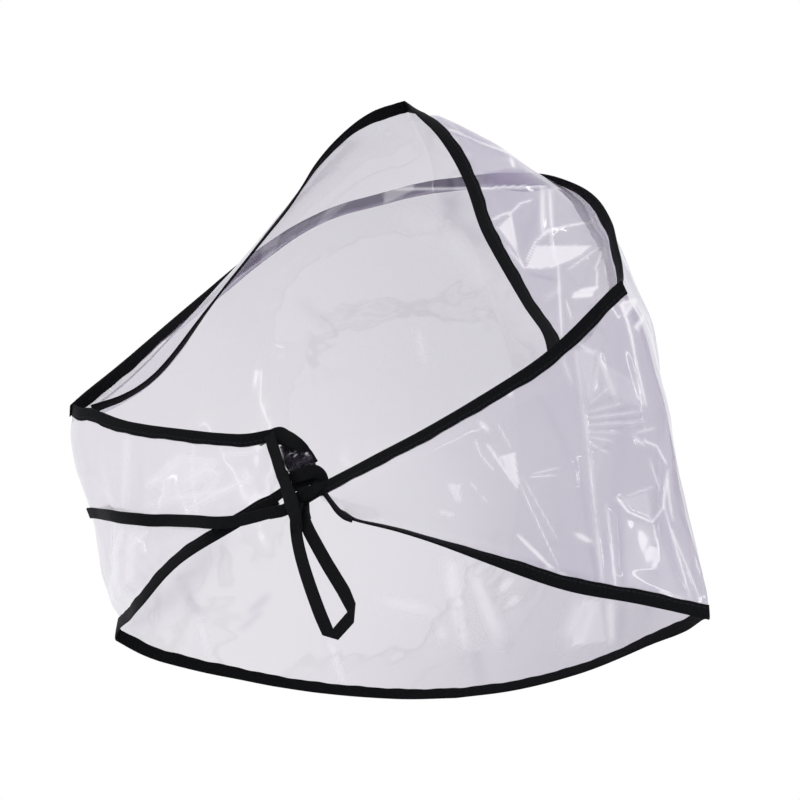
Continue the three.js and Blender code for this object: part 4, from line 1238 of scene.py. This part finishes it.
# %% Gathered film
GATHER_TOP = [(280, 446, 0.2), (290, 445, 0.8), (301, 448, 0.8), (311, 454, 0.2)]
GATHER_FOOT = [(291, 484, 1.0), (299, 479, 1.6), (309, 474, 1.6), (317, 468, 0.5)]
GATHER_ROWS = 61
GATHER_COLUMNS = 41
PLEATS = 5
PLEAT_HEIGHT = 0.42
CROSS_WAVE = 0.21
gather_share = np.linspace(0, 1, GATHER_ROWS)
gather_top, gather_foot = (Line(about_knot(rows)).at(gather_share) for rows in (GATHER_TOP, GATHER_FOOT))
gather_down = np.linspace(0, 1, GATHER_COLUMNS)[None, :, None]
gather_grid = gather_top[:, None] * (1 - gather_down) + gather_foot[:, None] * gather_down
pleats = (np.sin(2 * np.pi * PLEATS * gather_share)[:, None] * PLEAT_HEIGHT
          + np.sin(18 * gather_down[0, :, 0] + 7 * gather_share[:, None]) * CROSS_WAVE)
crumpled = crumple_field(gather_grid, 4 * MM, 2.5) * 2.2 + crumple_field(gather_grid, 1.8 * MM, 5.1) * 0.8
gather_grid = gather_grid + np.array(CAMERA_BACK) * ((pleats + crumpled)[..., None] * MM)
gathered, gathered_index = grid_goods("gathered_point_of_the_film", gather_grid)
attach(gathered, "root")

# %% [markdown]
# ## Nodes in few words
# A material is a graph of nodes around one Principled shader. It could be drawn by hand in the editor. In a
# script, these helpers add a node with its settings and the values of its sockets, so the graphs stay short.

# %% Helpers for materials
def new_material(name, colour):
    """A new material, its links and its shader. The colour is the one that the viewport shows."""
    material = bpy.data.materials.new(name)
    material.use_nodes = True
    material.diffuse_color = (*colour, 1)
    return material, material.node_tree.links, material.node_tree.nodes["Principled BSDF"]


def set_sockets(node, values):
    for socket, value in values.items():
        node.inputs[socket].default_value = value


def add(material, kind, values=None, **settings):
    """A shader node of a kind. Its settings come first, because they decide which sockets it has."""
    node = material.node_tree.nodes.new("ShaderNode" + kind)
    for setting, value in settings.items():
        setattr(node, setting, value)
    set_sockets(node, values or {})
    return node


def sum_of(material, operation, *inputs):
    """The result of a Math node. Each input is a number or another node's output."""
    node = add(material, "Math", operation=operation)
    for k, value in enumerate(inputs):
        if isinstance(value, (int, float)):
            node.inputs[k].default_value = value
        else:
            material.node_tree.links.new(value, node.inputs[k])
    return node.outputs["Value"]


def bumped(material, shader, height, strength, distance):
    """Lets a height roughen the shader's surface."""
    bump = add(material, "Bump", {"Strength": strength, "Distance": distance})
    material.node_tree.links.new(height, bump.inputs["Height"])
    material.node_tree.links.new(bump.outputs["Normal"], shader.inputs["Normal"])


def dress(pieces, material):
    for piece in pieces:
        piece.data.materials.clear()
        piece.data.materials.append(material)
    print(material.name, "on", len(pieces), "pieces, with", len(material.node_tree.nodes), "nodes")


# %% [markdown]
# ## Clear film
# The film is soft vinyl: mostly clear, a little milky, and very shiny. Glass with real refraction would be
# slow and noisy through so many layers, and film this thin bends no light. So a Principled shader with a
# low alpha shows what is behind it, and Layer Weight raises the alpha where the film turns away, as real
# film does.

# %% Film material
# Painted light and shade: the body colour mixes a smoky, shaded copy and a milky, lit copy of the film, by
# each point's milk value.
SMOKY_SHADED_COLOUR = (0.285, 0.225, 0.38, 1)
MILKY_LIT_COLOUR = (0.97, 0.93, 0.99, 1)
GRAZING_POWER = 3.0
GRAZING_HAZE = 0.5
MOST_HAZE = 0.95


def make_film():
    material, links, shader = new_material("clear_vinyl", (0.80, 0.77, 0.84))
    set_sockets(shader, {"Roughness": 0.12, "IOR": 1.5, "Specular IOR Level": 1.0,
                         "Coat Weight": 1.0, "Coat Roughness": 0.06, "Coat IOR": 2.0})
    haze_and_light = add(material, "Attribute", attribute_name="haze_and_light")
    milk_and_light = add(material, "Attribute", attribute_name="milk_and_light")
    body = add(material, "Mix", {"A": SMOKY_SHADED_COLOUR, "B": MILKY_LIT_COLOUR}, data_type="RGBA")
    links.new(milk_and_light.outputs["Fac"], body.inputs["Factor"])
    links.new(body.outputs["Result"], shader.inputs["Base Color"])
    facing = add(material, "LayerWeight", {"Blend": 0.5})
    grazing = sum_of(material, "POWER", facing.outputs["Facing"], GRAZING_POWER)
    glance = sum_of(material, "MULTIPLY_ADD", grazing, GRAZING_HAZE, haze_and_light.outputs["Fac"])
    alpha = add(material, "Clamp", {"Max": MOST_HAZE})
    links.new(glance, alpha.inputs["Value"])
    links.new(alpha.outputs["Result"], shader.inputs["Alpha"])
    place = add(material, "TexCoord")
    ripple = add(material, "TexNoise", {"Scale": 14, "Detail": 3, "Distortion": 0.6})
    links.new(place.outputs["Object"], ripple.inputs["Vector"])
    bumped(material, shader, ripple.outputs["Fac"], strength=0.5, distance=4 * MM)
    return material


film = make_film()


def set_values(piece, name, values):
    """Keeps one value for each point of a piece, which the material reads by its name."""
    layer = piece.data.attributes.new(name, "FLOAT", "POINT")
    layer.data.foreach_set("value", values.astype(np.float32).ravel())


# Painted glints: the gathered film is nearly clear, with hazier, milky spots where the crumple is high.
gathered_haze_and_glints = 0.02 + 3.0 * np.clip(crumple_field(gather_grid * (1, 1, 2.2), 5.0 * MM, 9.4) - 0.42, 0, 0.3)
gathered_milk_and_glints = (gathered_haze_and_glints > 0.04) * 0.8
dress([hood_film, visor_film, gathered], film)
for piece, (i, j), haze_and_light, milk_and_light in ((hood_film, hood_index, hood_haze_and_light, hood_milk_and_light),
                                  (visor_film, visor_index, visor_haze_and_light, visor_milk_and_light),
                                  (gathered, gathered_index, gathered_haze_and_glints, gathered_milk_and_glints)):
    set_values(piece, "haze_and_light", haze_and_light[i, j])
    set_values(piece, "milk_and_light", milk_and_light[i, j])

# %% [markdown]
# ## Woven tape
# The tape is black polyester, woven plain with a fine rib across it. Threads as real geometry would need
# millions of faces. Two waves on the goods' own map, in millimetres, cross into the weave, and a little
# noise breaks up the sheen. A row of stitches in black thread runs along the open side, which is what holds
# the folded tape shut.

# %% Tape material
THREADS_PER_MM = 2.4
WAVES_IN_A_UNIT = 3.2
DARK_TAPE = (0.0022, 0.0024, 0.0034, 1)
WORN_TAPE = (0.0058, 0.0062, 0.0080, 1)
# Painted sheen: the stitch thread is a little lighter than the tape, to stand for the thread's sheen.
THREAD_SHEEN_COLOUR = (0.013, 0.014, 0.017, 1)
THREAD_HEIGHT = 2.5
# Millimetres: from the goods' open side to the row of stitches, the thread's width and one stitch's length
STITCH_IN = 1.2
STITCH_THREAD = 0.35
STITCH_LENGTH = 2.6
STITCH_SHOWS = 0.72


def stitches(material, goods):
    """1 on the thread of a row of stitches along the goods' open side, 0 elsewhere."""
    axes = add(material, "SeparateXYZ")
    material.node_tree.links.new(goods.outputs["UV"], axes.inputs["Vector"])
    off_row = sum_of(material, "ABSOLUTE", sum_of(material, "SUBTRACT", axes.outputs["X"], STITCH_IN))
    on_row = sum_of(material, "LESS_THAN", off_row, STITCH_THREAD / 2)
    along = sum_of(material, "FRACT", sum_of(material, "DIVIDE", axes.outputs["Y"], STITCH_LENGTH))
    return sum_of(material, "MULTIPLY", on_row, sum_of(material, "LESS_THAN", along, STITCH_SHOWS))


def make_tape():
    material, links, shader = new_material("black_woven_tape", (0.02, 0.021, 0.024))
    set_sockets(shader, {"Roughness": 0.7, "Specular IOR Level": 0.07})
    goods = add(material, "TexCoord")
    wave = {"Scale": THREADS_PER_MM / WAVES_IN_A_UNIT, "Distortion": 0.4, "Detail": 1}
    waves = [add(material, "TexWave", wave, bands_direction=direction) for direction in ("X", "Y")]
    fibre = add(material, "TexNoise", {"Scale": 0.9, "Detail": 6})
    for texture in (*waves, fibre):
        links.new(goods.outputs["UV"], texture.inputs["Vector"])
    weave = sum_of(material, "MULTIPLY", *(texture.outputs["Fac"] for texture in waves))
    shade = add(material, "MapRange", {"From Min": 0.3, "From Max": 0.7})
    links.new(fibre.outputs["Fac"], shade.inputs["Value"])
    cloth = add(material, "Mix", {"A": DARK_TAPE, "B": WORN_TAPE}, data_type="RGBA")
    links.new(shade.outputs["Result"], cloth.inputs["Factor"])
    seamed = add(material, "Mix", {"B": THREAD_SHEEN_COLOUR}, data_type="RGBA")
    stitch = stitches(material, goods)
    links.new(stitch, seamed.inputs["Factor"])
    links.new(cloth.outputs["Result"], seamed.inputs["A"])
    links.new(seamed.outputs["Result"], shader.inputs["Base Color"])
    bumped(material, shader, sum_of(material, "MULTIPLY_ADD", stitch, THREAD_HEIGHT, weave),
           strength=0.6, distance=0.1 * MM)
    return material


tape_cloth = make_tape()
dress([*tapes, tie_tail, tie_loop, left_leg, knot], tape_cloth)

# %% [markdown]
# ## Studio
# The bonnet hangs in front of white. Clear film on white shows by its reflections alone, so the world is
# white to the eye and a little greyer in reflections. A picture of a studio could light it too, but plain
# colours keep it the same on every machine.

# %% World
def make_world():
    world = bpy.data.worlds.new("studio")
    world.use_nodes = True
    bpy.context.scene.world = world
    nodes, links = world.node_tree.nodes, world.node_tree.links
    seen = nodes["Background"]
    seen.inputs["Color"].default_value = (1, 1, 1, 1)
    seen.inputs["Strength"].default_value = 1.0
    room = nodes.new("ShaderNodeBackground")
    room.inputs["Color"].default_value = (0.97, 0.97, 1.0, 1)
    room.inputs["Strength"].default_value = 0.94
    rays = nodes.new("ShaderNodeLightPath")
    both = nodes.new("ShaderNodeMixShader")
    links.new(rays.outputs["Is Camera Ray"], both.inputs["Fac"])
    links.new(room.outputs["Background"], both.inputs[1])
    links.new(seen.outputs["Background"], both.inputs[2])
    links.new(both.outputs["Shader"], nodes["World Output"].inputs["Surface"])
    print("world", world.name)


make_world()

# %% [markdown]
# ## Floor
# The floor is pale paper, far below, so that it stays out of the picture and only gives back some light. It
# is part of the stage, not of the bonnet.

# %% Floor
FLOOR_Z = -1.15
FLOOR_SIDE = 14
deselect()
bpy.ops.mesh.primitive_plane_add(size=FLOOR_SIDE, location=(0, 0, FLOOR_Z))
floor = bpy.context.object
floor.name = "floor"
paper, _, paper_shader = new_material("pale_paper", (0.9, 0.9, 0.9))
set_sockets(paper_shader, {"Base Color": (0.86, 0.86, 0.87, 1), "Roughness": 0.8})
dress([floor], paper)

# %% [markdown]
# ## Lamps
# Broad lamps would fill the film with grey sheets. Long strip lamps put thin highlights along its creases,
# as the photograph has them, so five strips stand around the bonnet, each at its own slant.

# %% Strip lamps
# place off the bonnet's middle along the camera's right, up and back, in metres, length, width, turn, watts
LAMPS = [
    ((-1.3, 0.4, 1.2), 0.5, 0.10, 20, 0.6), ((1.3, 0.5, 1.0), 1.6, 0.05, -35, 1.3),
    ((0.5, 1.6, 0.3), 1.2, 0.06, 80, 1.2), ((0.4, -1.4, 0.9), 0.9, 0.06, 60, 0.8),
    ((0.8, -0.5, 1.5), 0.8, 0.05, 20, 0.7),
]
TARGET = Vector((0, -0.02, -0.128))
for k, (place, length, width, turn, watts) in enumerate(LAMPS):
    at = TARGET + CAMERA_RIGHT * place[0] + CAMERA_UP * place[1] + CAMERA_BACK * place[2]
    bpy.ops.object.light_add(type="AREA", location=at)
    lamp = bpy.context.object
    lamp.name = f"strip_lamp_{k}"
    lamp.data.shape = "RECTANGLE"
    lamp.data.size, lamp.data.size_y = length, width
    lamp.data.energy = watts
    facing = (TARGET - at).to_track_quat("-Z", "Y").to_matrix()
    lamp.rotation_euler = (facing @ Matrix.Rotation(math.radians(turn), 3, "Z")).to_euler()
print(len(LAMPS), "strip lamps,", round(sum(row[-1] for row in LAMPS), 1), "watts in all")

# %% [markdown]
# ## The view
# The Standard view keeps white paper white, where a filmic one would grey it. Light may pass many layers of
# film before it is stopped, or the layers behind would turn black.

# %% View and see-through layers
view = bpy.context.scene.view_settings
view.view_transform = "Standard"
view.look = "None"
bpy.context.scene.cycles.transparent_max_bounces = 32
print("view", view.view_transform)
